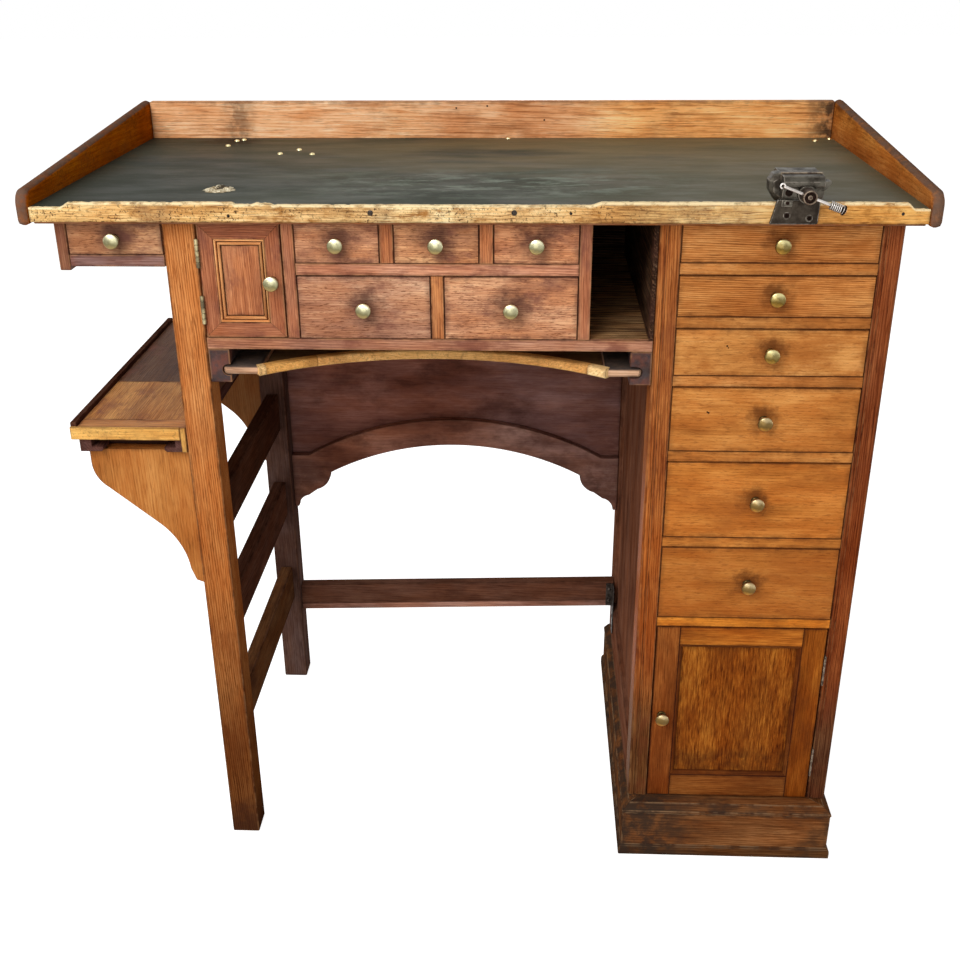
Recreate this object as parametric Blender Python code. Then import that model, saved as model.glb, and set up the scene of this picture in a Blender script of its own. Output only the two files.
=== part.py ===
"""A watchmaker's bench.

A lipped work top with a low gallery stands on a ladder-framed pair of legs and on a pedestal of
drawers. Between them hang a case of small drawers and a sliding apron tray. A small drawer and a
bracketed shelf are carried outside the legs, and an iron vise grips the front lip.
Metres, +X right, +Y back, +Z up, origin on the floor under the middle of the bench.
"""

import math

import bmesh
import bpy
from mathutils import Vector

# Clearances
FIT = 0.0003
CUT_OVERSHOOT = 0.010
DRAWER_SIDE_GAP = 0.0008
DRAWER_TOP_GAP = 0.0012
DOOR_GAP = 0.0016
HINGE_GAP = 0.0018
SCREW_GAP = 0.0004
TRAY_TOP_GAP = 0.0015
TRAY_SIDE_GAP = 0.0008

# Work top and gallery
TOP_WIDTH = 1.088
TOP_DEPTH = 0.527
WORK_HEIGHT = 0.959
BOARD_THICKNESS = 0.019
LINOLEUM_THICKNESS = 0.002
LIP_THICKNESS = 0.009
LIP_RISE = 0.008
LIP_SHY = 0.004
LIP_LOW_LEFT = 0.036
LIP_LOW_RIGHT = 0.021
LIP_OGEE = 0.015
LIP_OVERHANG = 0.021
END_THICKNESS = 0.015
END_FRONT_RISE = 0.021
END_REAR_RISE = 0.056
END_NOSE_RADIUS = 0.018
END_PROUD = 0.004
BACK_THICKNESS = 0.014
BACK_RISE = 0.055

# Legs, side rails and foot stretcher
LEG_SIZE = 0.0405
LEG_INSET = 0.166
FRAME_DEPTH = 0.460
SIDE_RAIL_HEIGHT = 0.063
SIDE_RAIL_THICKNESS = 0.020
SIDE_RAIL_BOTTOMS = {"lower": 0.168, "middle": 0.334, "upper": 0.494}
STRETCHER_HEIGHT = 0.049
STRETCHER_THICKNESS = 0.020
STRETCHER_BOTTOM = 0.138
STRETCHER_RISE = 0.017

# Back panel and arched rail
PANEL_THICKNESS = 0.010
ARCH_THICKNESS = 0.014
ARCH_CROWN = 0.461
ARCH_INSET = 0.0653
ARCH_RISE = 0.054
ARCH_BAND = 0.046
ARCH_SHOULDER = 0.030
ARCH_LOBE_RADIUS = 0.033
ARCH_COVE_RADIUS = 0.022
ARCH_TIP_WIDTH = 0.007
PANEL_LAP = 0.022

# Drawer and door stock
DRAWER_FRONT = 0.016
DRAWER_WALL = 0.008
DRAWER_FLOOR = 0.006
DRAWER_SIDE_DROP = 0.005
DRAWER_DEPTH = 0.400
DOOR_THICKNESS = 0.014

# Case between the legs and the pedestal
CUPBOARD_WIDTH = 0.104
CASE_STILE = 0.015
CASE_RAIL = 0.015
CASE_FLOOR = 0.015
CASE_SIDE = 0.006
CASE_BACK = 0.010
PIGEONHOLE_WIDTH = 0.0727
SMALL_OPENING = 0.0498
SMALL_MUNTIN = 0.0168
SMALL_PLACES = ("left", "middle", "right")
LARGE_OPENING = 0.0805
LARGE_MUNTIN = 0.0158
LARGE_PLACES = ("left", "right")

# Apron tray and its runner blocks
TRAY_THICKNESS = 0.013
TRAY_DEPTH = 0.400
TRAY_SETBACK = 0.002
TRAY_HORN = 0.006
TRAY_BATTEN = 0.045
TRAY_HOLLOW = 0.070
TRAY_RIM = 0.015
TRAY_FLOOR = 0.006
RUNNER_WIDTH = 0.027
RUNNER_LIP = 0.009
RUNNER_ABOVE = 0.022
GROOVE_DEPTH = 0.011

# Outer drawer beside the legs
OUTER_CASE_WIDTH = 0.132
OUTER_CHEEK = 0.014
OUTER_GUIDE = 0.007
OUTER_OPENING = 0.040
OUTER_FLOOR = 0.015
OUTER_CHEEK_DROP = 0.005
OUTER_DEPTH = 0.420
OUTER_BACK = 0.010

# Pedestal and plinth
PEDESTAL_WIDTH = 0.289
PEDESTAL_INSET = 0.0334
PEDESTAL_DEPTH = 0.482
PEDESTAL_STILE = 0.0263
PEDESTAL_RAIL = 0.0147
PEDESTAL_BACK = 0.012
PEDESTAL_FLOOR = 0.014
PEDESTAL_CORNER = 0.005
PEDESTAL_OPENINGS = (0.0474, 0.0524, 0.0615, 0.0882, 0.1100, 0.1094)
SIDE_STILE = 0.046
SIDE_TOP_RAIL = 0.060
SIDE_BOTTOM_RAIL = 0.070
SIDE_RECESS = 0.007
QUIRK_WIDTH = 0.0018
QUIRK_DEPTH = 0.002
QUIRK_INSET = 0.009
PLINTH_HEIGHT = 0.087
PLINTH_FRONT = 0.030
PLINTH_LEFT = 0.013
PLINTH_RIGHT = 0.009
PLINTH_WALL = 0.022
PLINTH_SHOE = 0.018
PLINTH_SHOE_STEP = 0.003
PLINTH_CHAMFER = 0.011
PLINTH_CHAMFER_RISE = 0.009
PEDESTAL_DOOR_STILE = 0.032
PEDESTAL_DOOR_TOP_RAIL = 0.029
PEDESTAL_DOOR_BOTTOM_RAIL = 0.037
PEDESTAL_PANEL_SETBACK = 0.006
CUPBOARD_DOOR_STILE = 0.019
CUPBOARD_DOOR_RAIL = 0.0195
CUPBOARD_MOULD_WIDTH = 0.0065
CUPBOARD_PANEL_SETBACK = 0.005

# Hinges and knobs
HINGE_RADIUS = 0.0026
HINGE_LEAF = 0.0012
HINGE_LEAF_DEPTH = 0.012
HINGE_SIDES = 12
CUPBOARD_HINGE_LENGTH = 0.036
CUPBOARD_HINGE_INSET = 0.018
PEDESTAL_HINGE_LENGTH = 0.048
PEDESTAL_HINGE_INSET = 0.042
KNOB_RADIUS = 0.0092
KNOB_REACH = 0.0175
KNOB_FLANGE_RADIUS = 0.0060
KNOB_FLANGE = 0.0012
KNOB_NECK_RADIUS = 0.0037
KNOB_NECK = 0.0060
KNOB_DOME = 0.0068
KNOB_SIDES = 16
CUPBOARD_KNOB_INSET = 0.0125
CUPBOARD_KNOB_HEIGHT = 0.072
PEDESTAL_KNOB_INSET = 0.0135
PEDESTAL_KNOB_HEIGHT = 0.143

# Side shelf and its brackets
SHELF_WIDTH = 0.152
SHELF_DEPTH = 0.464
SHELF_PROUD = 0.003
SHELF_TOP = 0.669
SHELF_THICKNESS = 0.017
SHELF_RIM_RISE = 0.006
SHELF_RIM_WIDTH = 0.008
SHELF_RUNNER_INSET = 0.009
SHELF_RUNNER_WIDTH = 0.016
SHELF_RUNNER_HEIGHT = 0.018
SHELF_LEDGE_WIDTH = 0.015
SHELF_LEDGE_HEIGHT = 0.007
SHELF_RUNNER_SHY = 0.004
BRACKET_THICKNESS = 0.018
BRACKET_SETBACK = 0.012
BRACKET_REACH = 0.136
BRACKET_HEIGHT = 0.203
BRACKET_NOSE = 0.021
BRACKET_LOBE_RADIUS = 0.044
BRACKET_LOBE_TURN = 55.0
BRACKET_SWEEP_RADIUS = 0.104
BRACKET_SWEEP_TURN = 46.0
BRACKET_TOE = 0.019
BRACKET_TOE_RISE = 0.014

# Vise on the front lip
VISE_INSET = 0.1655
VISE_WIDTH = 0.047
VISE_PLATE_THICKNESS = 0.005
VISE_PLATE_DROP = 0.025
VISE_PLATE_REACH = 0.0105
VISE_PLATE_SPLAY = 0.006
VISE_PLATE_SHY = 0.002
VISE_SLAB = 0.004
VISE_JAW_HEIGHT = 0.0285
VISE_EAR_REACH = 0.012
VISE_EAR_HEIGHT = 0.033
VISE_EAR_THICKNESS = 0.020
VISE_EAR_SETBACK = 0.006
VISE_EAR_FOOT = 0.012
VISE_EAR_SHOULDER = 0.008
VISE_JAW_OVERHANG = 0.016
VISE_PARTING = 0.007
VISE_REAR_REACH = 0.045
SCREW_OFFSET = 0.004
SCREW_RADIUS = 0.0035
SCREW_RISE = 0.0075
SCREW_REACH = 0.034
SCREW_HEAD_RADIUS = 0.0085
SCREW_HEAD_LENGTH = 0.0167
SCREW_DIMPLE_RADIUS = 0.0045
SCREW_DIMPLE = 0.003
SCREW_SIDES = 20
HANDLE_RADIUS = 0.002
HANDLE_TILT = 21.0
HANDLE_LEFT = 0.031
HANDLE_RIGHT = 0.0455
HANDLE_BALL_RADIUS = 0.0034
HANDLE_COLLAR_RADIUS = 0.0054
HANDLE_COLLAR = 0.0040
HANDLE_SIDES = 12
SPRING_TURNS = 6
SPRING_RADIUS = 0.0046
SPRING_WIRE = 0.0013
SPRING_PITCH = 0.0023
SPRING_POINTS_PER_TURN = 9

# Places across the bench
left_face = -TOP_WIDTH / 2
right_face = TOP_WIDTH / 2
inner_left = left_face + END_THICKNESS + FIT
inner_right = right_face - END_THICKNESS - FIT
leg_left = left_face + LEG_INSET
leg_right = leg_left + LEG_SIZE
pedestal_right = right_face - PEDESTAL_INSET
pedestal_left = pedestal_right - PEDESTAL_WIDTH
case_left = leg_right + FIT
case_right = pedestal_left - FIT
case_middle = (case_left + case_right) / 2
vise_middle = right_face - VISE_INSET
screw_x = vise_middle + SCREW_OFFSET

# Places from front to back, with the box of the whole bench centred on the origin
front_reach = LIP_OVERHANG + VISE_JAW_OVERHANG + FIT + SCREW_HEAD_LENGTH
back_reach = TOP_DEPTH - LIP_OVERHANG
front = (front_reach - back_reach) / 2
lip_front = front - LIP_OVERHANG
lip_back = lip_front + LIP_THICKNESS
gallery_back = lip_front + TOP_DEPTH
gallery_front = gallery_back - BACK_THICKNESS
frame_back = front + FRAME_DEPTH
rear_leg_front = frame_back - LEG_SIZE
panel_front = frame_back - PANEL_THICKNESS
arch_back = panel_front - FIT
arch_front = arch_back - ARCH_THICKNESS
case_back = panel_front - FIT
pedestal_back = front + PEDESTAL_DEPTH

# Places above the floor
board_top = WORK_HEIGHT - LINOLEUM_THICKNESS - FIT
board_bottom = board_top - BOARD_THICKNESS
under_top = board_bottom - FIT
lip_bottom = board_bottom + LIP_SHY
lip_top = WORK_HEIGHT + LIP_RISE
case_rail_top = under_top - SMALL_OPENING
case_rail_bottom = case_rail_top - CASE_RAIL
case_floor_top = case_rail_bottom - LARGE_OPENING
case_bottom = case_floor_top - CASE_FLOOR
tray_top = case_bottom - RUNNER_ABOVE
tray_bottom = tray_top - TRAY_THICKNESS
runner_bottom = tray_bottom - FIT - RUNNER_LIP
pedestal_bottom = PLINTH_HEIGHT + FIT
shelf_bottom = SHELF_TOP - SHELF_THICKNESS
bracket_top = shelf_bottom - SHELF_RUNNER_HEIGHT - FIT


def clear_scene():
    for item in list(bpy.data.objects):
        bpy.data.objects.remove(item, do_unlink=True)


def finish(name, colour, roughness, metallic=0.0):
    material = bpy.data.materials.new(name)
    material.use_nodes = True
    shader = material.node_tree.nodes["Principled BSDF"]
    shader.inputs["Base Color"].default_value = (*colour, 1.0)
    shader.inputs["Roughness"].default_value = roughness
    shader.inputs["Metallic"].default_value = metallic
    return material


def add_piece(name, points, faces, material, origin):
    """Makes a mesh object from world points, with its own origin."""
    origin = Vector(origin)
    mesh = bpy.data.meshes.new(name)
    mesh.from_pydata([Vector(point) - origin for point in points], [], faces)
    shape = bmesh.new()
    shape.from_mesh(mesh)
    bmesh.ops.recalc_face_normals(shape, faces=shape.faces)
    shape.to_mesh(mesh)
    shape.free()
    piece = bpy.data.objects.new(name, mesh)
    piece.location = origin
    if material is not None:
        mesh.materials.append(material)
    bpy.context.scene.collection.objects.link(piece)
    return piece


def box_points(low, high):
    return [(x, y, z) for z in (low[2], high[2]) for y in (low[1], high[1]) for x in (low[0], high[0])]


BOX_FACES = [(0, 2, 3, 1), (4, 5, 7, 6), (0, 1, 5, 4), (2, 6, 7, 3), (0, 4, 6, 2), (1, 3, 7, 5)]


def block(name, low, high, material):
    middle = (Vector(low) + Vector(high)) / 2
    return add_piece(name, box_points(low, high), BOX_FACES, material, middle)


def prism(name, outline, axis, start, end, material, origin=None):
    """Extrudes an outline along an axis. The outline's pairs are (x, y), (x, z) or (y, z)."""
    def at(pair, along):
        place = list(pair)
        place.insert("xyz".index(axis), along)
        return tuple(place)

    count = len(outline)
    points = [at(pair, start) for pair in outline] + [at(pair, end) for pair in outline]
    faces = [tuple(range(count)), tuple(range(count, 2 * count))]
    for index in range(count):
        after = (index + 1) % count
        faces.append((index, after, count + after, count + index))
    return add_piece(name, points, faces, material, origin or points[0])


def cutter(name, boxes):
    """Makes one hidden cutting shape of several boxes, each a low and a high corner."""
    points = []
    faces = []
    for low, high in boxes:
        first = len(points)
        points += box_points(low, high)
        faces += [tuple(first + corner for corner in face) for face in BOX_FACES]
    return hide(add_piece(name, points, faces, None, boxes[0][0]))


def hide(shape):
    shape.hide_render = True
    shape.display_type = "WIRE"
    return shape


def cut(piece, shape):
    combine(piece, shape, "DIFFERENCE")


def combine(piece, shape, operation):
    modifier = piece.modifiers.new(shape.name, "BOOLEAN")
    modifier.operation = operation
    modifier.solver = "EXACT"
    modifier.object = shape


def arc(centre, radius, start, end, steps):
    """Points along an arc, with its angles in degrees."""
    points = []
    for step in range(steps + 1):
        angle = math.radians(start + (end - start) * step / steps)
        points.append((centre[0] + radius * math.cos(angle), centre[1] + radius * math.sin(angle)))
    return points


def turned(name, profile, sides, material, origin, rotation):
    """Turns a profile of (radius, height) pairs about local Z. A radius of 0 closes an end."""
    points = []
    rings = []
    for radius, height in profile:
        count = sides if radius > 0 else 1
        rings.append([len(points) + index for index in range(count)])
        for index in range(count):
            angle = 2 * math.pi * index / sides
            points.append((radius * math.cos(angle), radius * math.sin(angle), height))
    faces = []
    for lower, upper in zip(rings, rings[1:]):
        for index in range(sides):
            after = (index + 1) % sides
            corners = [lower[index % len(lower)], lower[after % len(lower)]]
            corners += [upper[after % len(upper)], upper[index % len(upper)]]
            faces.append(tuple(dict.fromkeys(corners)))
    piece = add_piece(name, points, faces, material, (0, 0, 0))
    piece.location = origin
    piece.rotation_euler = rotation
    piece.data.shade_smooth()
    piece.data.set_sharp_from_angle(angle=math.radians(40))
    return piece


def carry(parent, *children):
    """Hangs pieces on an unturned parent, keeping their places."""
    for child in children:
        child.location = child.location - parent.location
        child.parent = parent


FACING_FRONT = (math.radians(90), 0, 0)


def open_box(name, low, high, box_low_x, box_high_x, material):
    """A drawer: a full front and a lower box with walls, a floor and an open top."""
    (x0, y0, z0), (x1, y1, z1) = low, high
    rim = z1 - DRAWER_SIDE_DROP
    behind = y0 + DRAWER_FRONT
    body = block(name, low, (x1, behind, z1), material)
    box = cutter(name + "_box", [((box_low_x, behind - DRAWER_WALL, z0), (box_high_x, y1, rim))])
    combine(body, box, "UNION")
    hollow_low = (box_low_x + DRAWER_WALL, behind, z0 + DRAWER_FLOOR)
    hollow_high = (box_high_x - DRAWER_WALL, y1 - DRAWER_WALL, rim + CUT_OVERSHOOT)
    cut(body, cutter(name + "_hollow", [(hollow_low, hollow_high)]))
    return body


def knob(name, x, z, face, material):
    head = KNOB_REACH - KNOB_DOME
    profile = [(0, 0), (KNOB_FLANGE_RADIUS, 0), (KNOB_FLANGE_RADIUS, KNOB_FLANGE)]
    profile += [(KNOB_NECK_RADIUS, 2 * KNOB_FLANGE), (KNOB_NECK_RADIUS, KNOB_NECK)]
    for along, up in arc((0, 0), 1.0, 0, 90, 5)[:-1]:
        profile.append((KNOB_RADIUS * along, head + KNOB_DOME * up))
    profile.append((0, KNOB_REACH))
    return turned(name, profile, KNOB_SIDES, material, (x, face - FIT, z), FACING_FRONT)


def drawer(name, opening_x, opening_z, material, brass, guide=0.0, depth=DRAWER_DEPTH):
    """A drawer and its knob in an opening; guide narrows the box behind the front on its right."""
    low = (opening_x[0] + DRAWER_SIDE_GAP, front, opening_z[0] + FIT)
    high = (opening_x[1] - DRAWER_SIDE_GAP, front + depth, opening_z[1] - DRAWER_TOP_GAP)
    body = open_box(name, low, high, low[0], high[0] - guide, material)
    pull = knob(name + "_knob", (low[0] + high[0]) / 2, (low[2] + high[2]) / 2, front, brass)
    carry(body, pull)


def hinge(name, axis_x, bottom, length, material):
    """A butt hinge: its knuckle stands before the face and its leaf lies in the gap."""
    axis_y = front - FIT - HINGE_RADIUS
    half = math.degrees(math.asin(HINGE_LEAF / 2 / HINGE_RADIUS))
    outline = arc((axis_x, axis_y), HINGE_RADIUS, 90 + half, 450 - half, HINGE_SIDES)
    leaf_back = front + HINGE_LEAF_DEPTH
    outline += [(axis_x + HINGE_LEAF / 2, leaf_back), (axis_x - HINGE_LEAF / 2, leaf_back)]
    return prism(name, outline, "z", bottom, bottom + length, material, (axis_x, axis_y, bottom))


def make_top(wood, pale, lino):
    back = gallery_front - FIT
    block("bench_top", (inner_left, lip_back + FIT, board_bottom), (inner_right, back, board_top), wood)
    lino_low = (inner_left, lip_back + FIT, board_top + FIT)
    block("linoleum", lino_low, (inner_right, back, WORK_HEIGHT), lino)
    gallery_low = (inner_left, gallery_front, board_bottom)
    gallery_high = (inner_right, gallery_back, WORK_HEIGHT + BACK_RISE)
    block("back_gallery", gallery_low, gallery_high, wood)

    steps = 6
    rise = lip_top - WORK_HEIGHT
    outline = [(inner_left, lip_bottom), (inner_right, lip_bottom), (inner_right, WORK_HEIGHT)]
    ogee = [(LIP_OGEE * s / steps, rise * (1 - math.cos(math.pi * s / steps)) / 2) for s in range(steps + 1)]
    outline += [(inner_right - LIP_LOW_RIGHT - along, WORK_HEIGHT + up) for along, up in ogee]
    outline += [(inner_left + LIP_LOW_LEFT + along, WORK_HEIGHT + up) for along, up in reversed(ogee)]
    outline.append((inner_left, WORK_HEIGHT))
    prism("front_lip", outline, "y", lip_front, lip_back, pale)

    nose = lip_front - END_PROUD
    start_z = WORK_HEIGHT + END_FRONT_RISE
    climb = END_REAR_RISE - END_FRONT_RISE
    end = [(gallery_back, board_bottom), (nose, board_bottom)]
    end += arc((nose + END_NOSE_RADIUS, start_z - END_NOSE_RADIUS), END_NOSE_RADIUS, 180, 100, 5)
    for step in range(2, 9):
        share = step / 8
        along = nose + END_NOSE_RADIUS + (gallery_back - nose - END_NOSE_RADIUS) * share
        end.append((along, start_z + climb * share))
    prism("left_gallery_end", end, "x", left_face, left_face + END_THICKNESS, wood)
    prism("right_gallery_end", end, "x", right_face - END_THICKNESS, right_face, wood)


def make_legs(wood, dark):
    for name, near in (("front_leg", front), ("rear_leg", rear_leg_front)):
        block(name, (leg_left, near, 0), (leg_right, near + LEG_SIZE, under_top), wood)
    rail_left = (leg_left + leg_right - SIDE_RAIL_THICKNESS) / 2
    for name, bottom in SIDE_RAIL_BOTTOMS.items():
        low = (rail_left, front + LEG_SIZE + FIT, bottom)
        high = (rail_left + SIDE_RAIL_THICKNESS, rear_leg_front - FIT, bottom + SIDE_RAIL_HEIGHT)
        block(name + "_side_rail", low, high, dark)
    near = (rear_leg_front + frame_back - STRETCHER_THICKNESS) / 2
    right_bottom = STRETCHER_BOTTOM + STRETCHER_RISE
    outline = [(case_left, STRETCHER_BOTTOM), (case_right, right_bottom)]
    outline.append((case_right, right_bottom + STRETCHER_HEIGHT))
    outline.append((case_left, STRETCHER_BOTTOM + STRETCHER_HEIGHT))
    prism("rear_stretcher", outline, "y", near, near + STRETCHER_THICKNESS, dark)


def mirrored(half):
    """Completes an outline's right half about the middle of the case."""
    return half + [(2 * case_middle - x, z) for x, z in reversed(half)]


def make_back(dark):
    half_span = (case_right - case_left) / 2 - ARCH_INSET
    radius = (half_span ** 2 + ARCH_RISE ** 2) / (2 * ARCH_RISE)
    centre = (case_middle, ARCH_CROWN - radius)
    spring_angle = 90 - math.degrees(math.asin(half_span / radius))
    lower = arc(centre, radius, 90, spring_angle, 10)
    spring_x, spring_z = lower[-1]
    lobe = (spring_x + ARCH_LOBE_RADIUS, spring_z)
    tip_x = case_right - ARCH_TIP_WIDTH
    outline = lower + arc(lobe, ARCH_LOBE_RADIUS, 180, 255, 6)
    cove = (tip_x - ARCH_COVE_RADIUS, outline[-1][1] - ARCH_LOBE_RADIUS)
    outline += arc(cove, ARCH_COVE_RADIUS, 80, 0, 6)
    outline.append((case_right, outline[-1][1]))
    top_radius = radius + ARCH_BAND
    shoulder_x = case_right - ARCH_SHOULDER
    shoulder_angle = math.degrees(math.acos((shoulder_x - case_middle) / top_radius))
    upper = arc(centre, top_radius, shoulder_angle, 90, 10)
    outline.append((case_right, upper[0][1]))
    prism("arched_rail", mirrored(outline + upper[:-1]), "y", arch_front, arch_back, dark)

    panel = arc(centre, radius + PANEL_LAP, 90, shoulder_angle, 10)
    panel += [(case_right, panel[-1][1]), (case_right, under_top)]
    prism("back_panel", mirrored(panel[1:]), "y", panel_front, frame_back, dark)


def case_columns():
    """Openings across the case: the cupboard, the drawer bay and the pigeonhole."""
    cupboard = (case_left, case_left + CUPBOARD_WIDTH)
    pigeonhole = (case_right - CASE_SIDE - PIGEONHOLE_WIDTH, case_right - CASE_SIDE)
    bay = (cupboard[1] + CASE_STILE, pigeonhole[0] - CASE_STILE)
    return cupboard, bay, pigeonhole


def split(span, count, muntin):
    width = (span[1] - span[0] - (count - 1) * muntin) / count
    starts = [span[0] + index * (width + muntin) for index in range(count)]
    return [(start, start + width) for start in starts]


def make_case(wood, drawer_wood, brass):
    cupboard, bay, pigeonhole = case_columns()
    left_block = case_left + RUNNER_WIDTH
    right_block = case_right - RUNNER_WIDTH
    outline = [(case_left, runner_bottom), (left_block, runner_bottom), (left_block, case_bottom)]
    outline += [(right_block, case_bottom), (right_block, runner_bottom), (case_right, runner_bottom)]
    outline += [(case_right, under_top), (case_left, under_top)]
    case = prism("upper_case", outline, "y", front, case_back, wood)

    above = under_top + CUT_OVERSHOOT
    before = front - CUT_OVERSHOOT
    hollow_back = case_back - CASE_BACK
    door_back = front + DOOR_THICKNESS + FIT
    boxes = [
        ((case_left - CUT_OVERSHOOT, before, case_floor_top), (cupboard[1], door_back, above)),
        ((case_left + CASE_SIDE, before, case_floor_top), (cupboard[1], hollow_back, above)),
        ((pigeonhole[0], before, case_floor_top), (pigeonhole[1], hollow_back, above)),
    ]
    small = split(bay, len(SMALL_PLACES), SMALL_MUNTIN)
    large = split(bay, len(LARGE_PLACES), LARGE_MUNTIN)
    boxes += [((x0, before, case_rail_top), (x1, hollow_back, above)) for x0, x1 in small]
    boxes += [((x0, before, case_floor_top), (x1, hollow_back, case_rail_bottom)) for x0, x1 in large]
    cut(case, cutter("case_openings", boxes[1:]))
    cut(case, cutter("case_door_recess", boxes[:1]))

    groove_low = tray_bottom - FIT
    groove_high = tray_top + TRAY_TOP_GAP
    through = case_back + CUT_OVERSHOOT
    left_bottom = left_block - GROOVE_DEPTH
    right_bottom = right_block + GROOVE_DEPTH
    grooves = [
        ((left_bottom, before, groove_low), (left_block + FIT, through, groove_high)),
        ((right_block - FIT, before, groove_low), (right_bottom, through, groove_high)),
    ]
    cut(case, cutter("case_grooves", grooves))

    for place, span in zip(SMALL_PLACES, small):
        drawer("small_drawer_" + place, span, (case_rail_top, under_top), drawer_wood, brass)
    for place, span in zip(LARGE_PLACES, large):
        drawer("large_drawer_" + place, span, (case_floor_top, case_rail_bottom), drawer_wood, brass)


def make_tray(wood):
    side = RUNNER_WIDTH - GROOVE_DEPTH + TRAY_SIDE_GAP
    left = case_left + side
    right = case_right - side
    near = front + TRAY_SETBACK
    far = near + TRAY_DEPTH
    half = (right - left) / 2 - TRAY_BATTEN
    depth = TRAY_HOLLOW
    radius = (half * half + depth * depth) / (2 * depth)
    horn = near - TRAY_HORN
    centre = (case_middle, horn + depth - radius)
    spread = math.degrees(math.asin(half / radius))
    outline = [(left, far), (left, near), (left + TRAY_BATTEN, near)]
    outline += arc(centre, radius, 90 + spread, 90 - spread, 20)
    outline += [(right - TRAY_BATTEN, near), (right, near), (right, far)]
    tray = prism("apron_tray", outline, "z", tray_bottom, tray_top, wood)

    inner = radius + TRAY_RIM
    inner_half = half - TRAY_RIM
    inner_spread = math.degrees(math.asin(inner_half / inner))
    well_far = far - TRAY_RIM
    well = [(case_middle - inner_half, well_far)]
    well += arc(centre, inner, 90 + inner_spread, 90 - inner_spread, 20)
    well.append((case_middle + inner_half, well_far))
    top = tray_top + CUT_OVERSHOOT
    cut(tray, hide(prism("tray_well", well, "z", tray_bottom + TRAY_FLOOR, top, None)))


def make_outer_drawer(wood, drawer_wood, brass):
    left = leg_left - OUTER_CASE_WIDTH
    right = leg_left - FIT
    opening = (left + OUTER_CHEEK, right)
    floor_top = under_top - OUTER_OPENING
    floor_bottom = floor_top - OUTER_FLOOR
    back = front + OUTER_DEPTH
    before = front - CUT_OVERSHOOT
    above = under_top + CUT_OVERSHOOT
    beside = right + CUT_OVERSHOOT
    cheek_bottom = floor_bottom - OUTER_CHEEK_DROP
    case = block("outer_drawer_case", (left, front, cheek_bottom), (right, back, under_top), wood)
    under_low = (opening[0], before, cheek_bottom - CUT_OVERSHOOT)
    under = (under_low, (beside, back + CUT_OVERSHOOT, floor_bottom))
    front_zone = ((opening[0], before, floor_top), (beside, front + DRAWER_FRONT + FIT, above))
    hollow = ((opening[0], before, floor_top), (right - OUTER_GUIDE, back - OUTER_BACK, above))
    cut(case, cutter("outer_case_underside", [under]))
    cut(case, cutter("outer_case_front", [front_zone]))
    cut(case, cutter("outer_case_hollow", [hollow]))
    drawer("outer_drawer", opening, (floor_top, under_top), drawer_wood, brass, OUTER_GUIDE)


def pedestal_levels():
    """The bottom and top of each drawer opening, from the top drawer down."""
    levels = []
    top = under_top
    for height in PEDESTAL_OPENINGS:
        levels.append((top - height, top))
        top -= height + PEDESTAL_RAIL
    return levels, top


def make_pedestal(wood, drawer_wood, brass):
    corner = PEDESTAL_CORNER
    outline = arc((pedestal_left + corner, front + corner), corner, 180, 270, 4)
    outline += arc((pedestal_right - corner, front + corner), corner, 270, 360, 4)
    outline += [(pedestal_right, pedestal_back), (pedestal_left, pedestal_back)]
    carcase = prism("pedestal_carcase", outline, "z", pedestal_bottom, under_top, wood)

    levels, door_top = pedestal_levels()
    opening = (pedestal_left + PEDESTAL_STILE, pedestal_right - PEDESTAL_STILE)
    before = front - CUT_OVERSHOOT
    hollow_back = pedestal_back - PEDESTAL_BACK
    boxes = []
    for bottom, top in levels:
        over = CUT_OVERSHOOT if top == under_top else 0
        boxes.append(((opening[0], before, bottom), (opening[1], hollow_back, top + over)))
    cupboard_floor = pedestal_bottom + PEDESTAL_FLOOR
    boxes.append(((opening[0], before, cupboard_floor), (opening[1], hollow_back, door_top)))
    cut(carcase, cutter("pedestal_openings", boxes))
    door_back = front + DOOR_THICKNESS + FIT
    recess = ((opening[0], before, pedestal_bottom - CUT_OVERSHOOT), (opening[1], door_back, door_top))
    cut(carcase, cutter("pedestal_door_recess", [recess]))

    panel_low = (front + SIDE_STILE, pedestal_bottom + SIDE_BOTTOM_RAIL)
    panel_high = (pedestal_back - SIDE_STILE, under_top - SIDE_TOP_RAIL)
    sides = [
        ((pedestal_left - CUT_OVERSHOOT, *panel_low), (pedestal_left + SIDE_RECESS, *panel_high)),
        ((pedestal_right - SIDE_RECESS, *panel_low), (pedestal_right + CUT_OVERSHOOT, *panel_high)),
    ]
    cut(carcase, cutter("pedestal_side_panels", sides))

    quirk_low = pedestal_bottom - CUT_OVERSHOOT
    quirk_high = under_top + CUT_OVERSHOOT
    left_quirk = pedestal_left + QUIRK_INSET
    right_quirk = pedestal_right - PEDESTAL_STILE + QUIRK_INSET / 2
    quirks = []
    for start in (left_quirk, right_quirk):
        quirks.append(((start, before, quirk_low), (start + QUIRK_WIDTH, front + QUIRK_DEPTH, quirk_high)))
    cut(carcase, cutter("pedestal_quirks", quirks))

    for number, level in enumerate(levels, 1):
        drawer("pedestal_drawer_" + str(number), opening, level, drawer_wood, brass)


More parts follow.
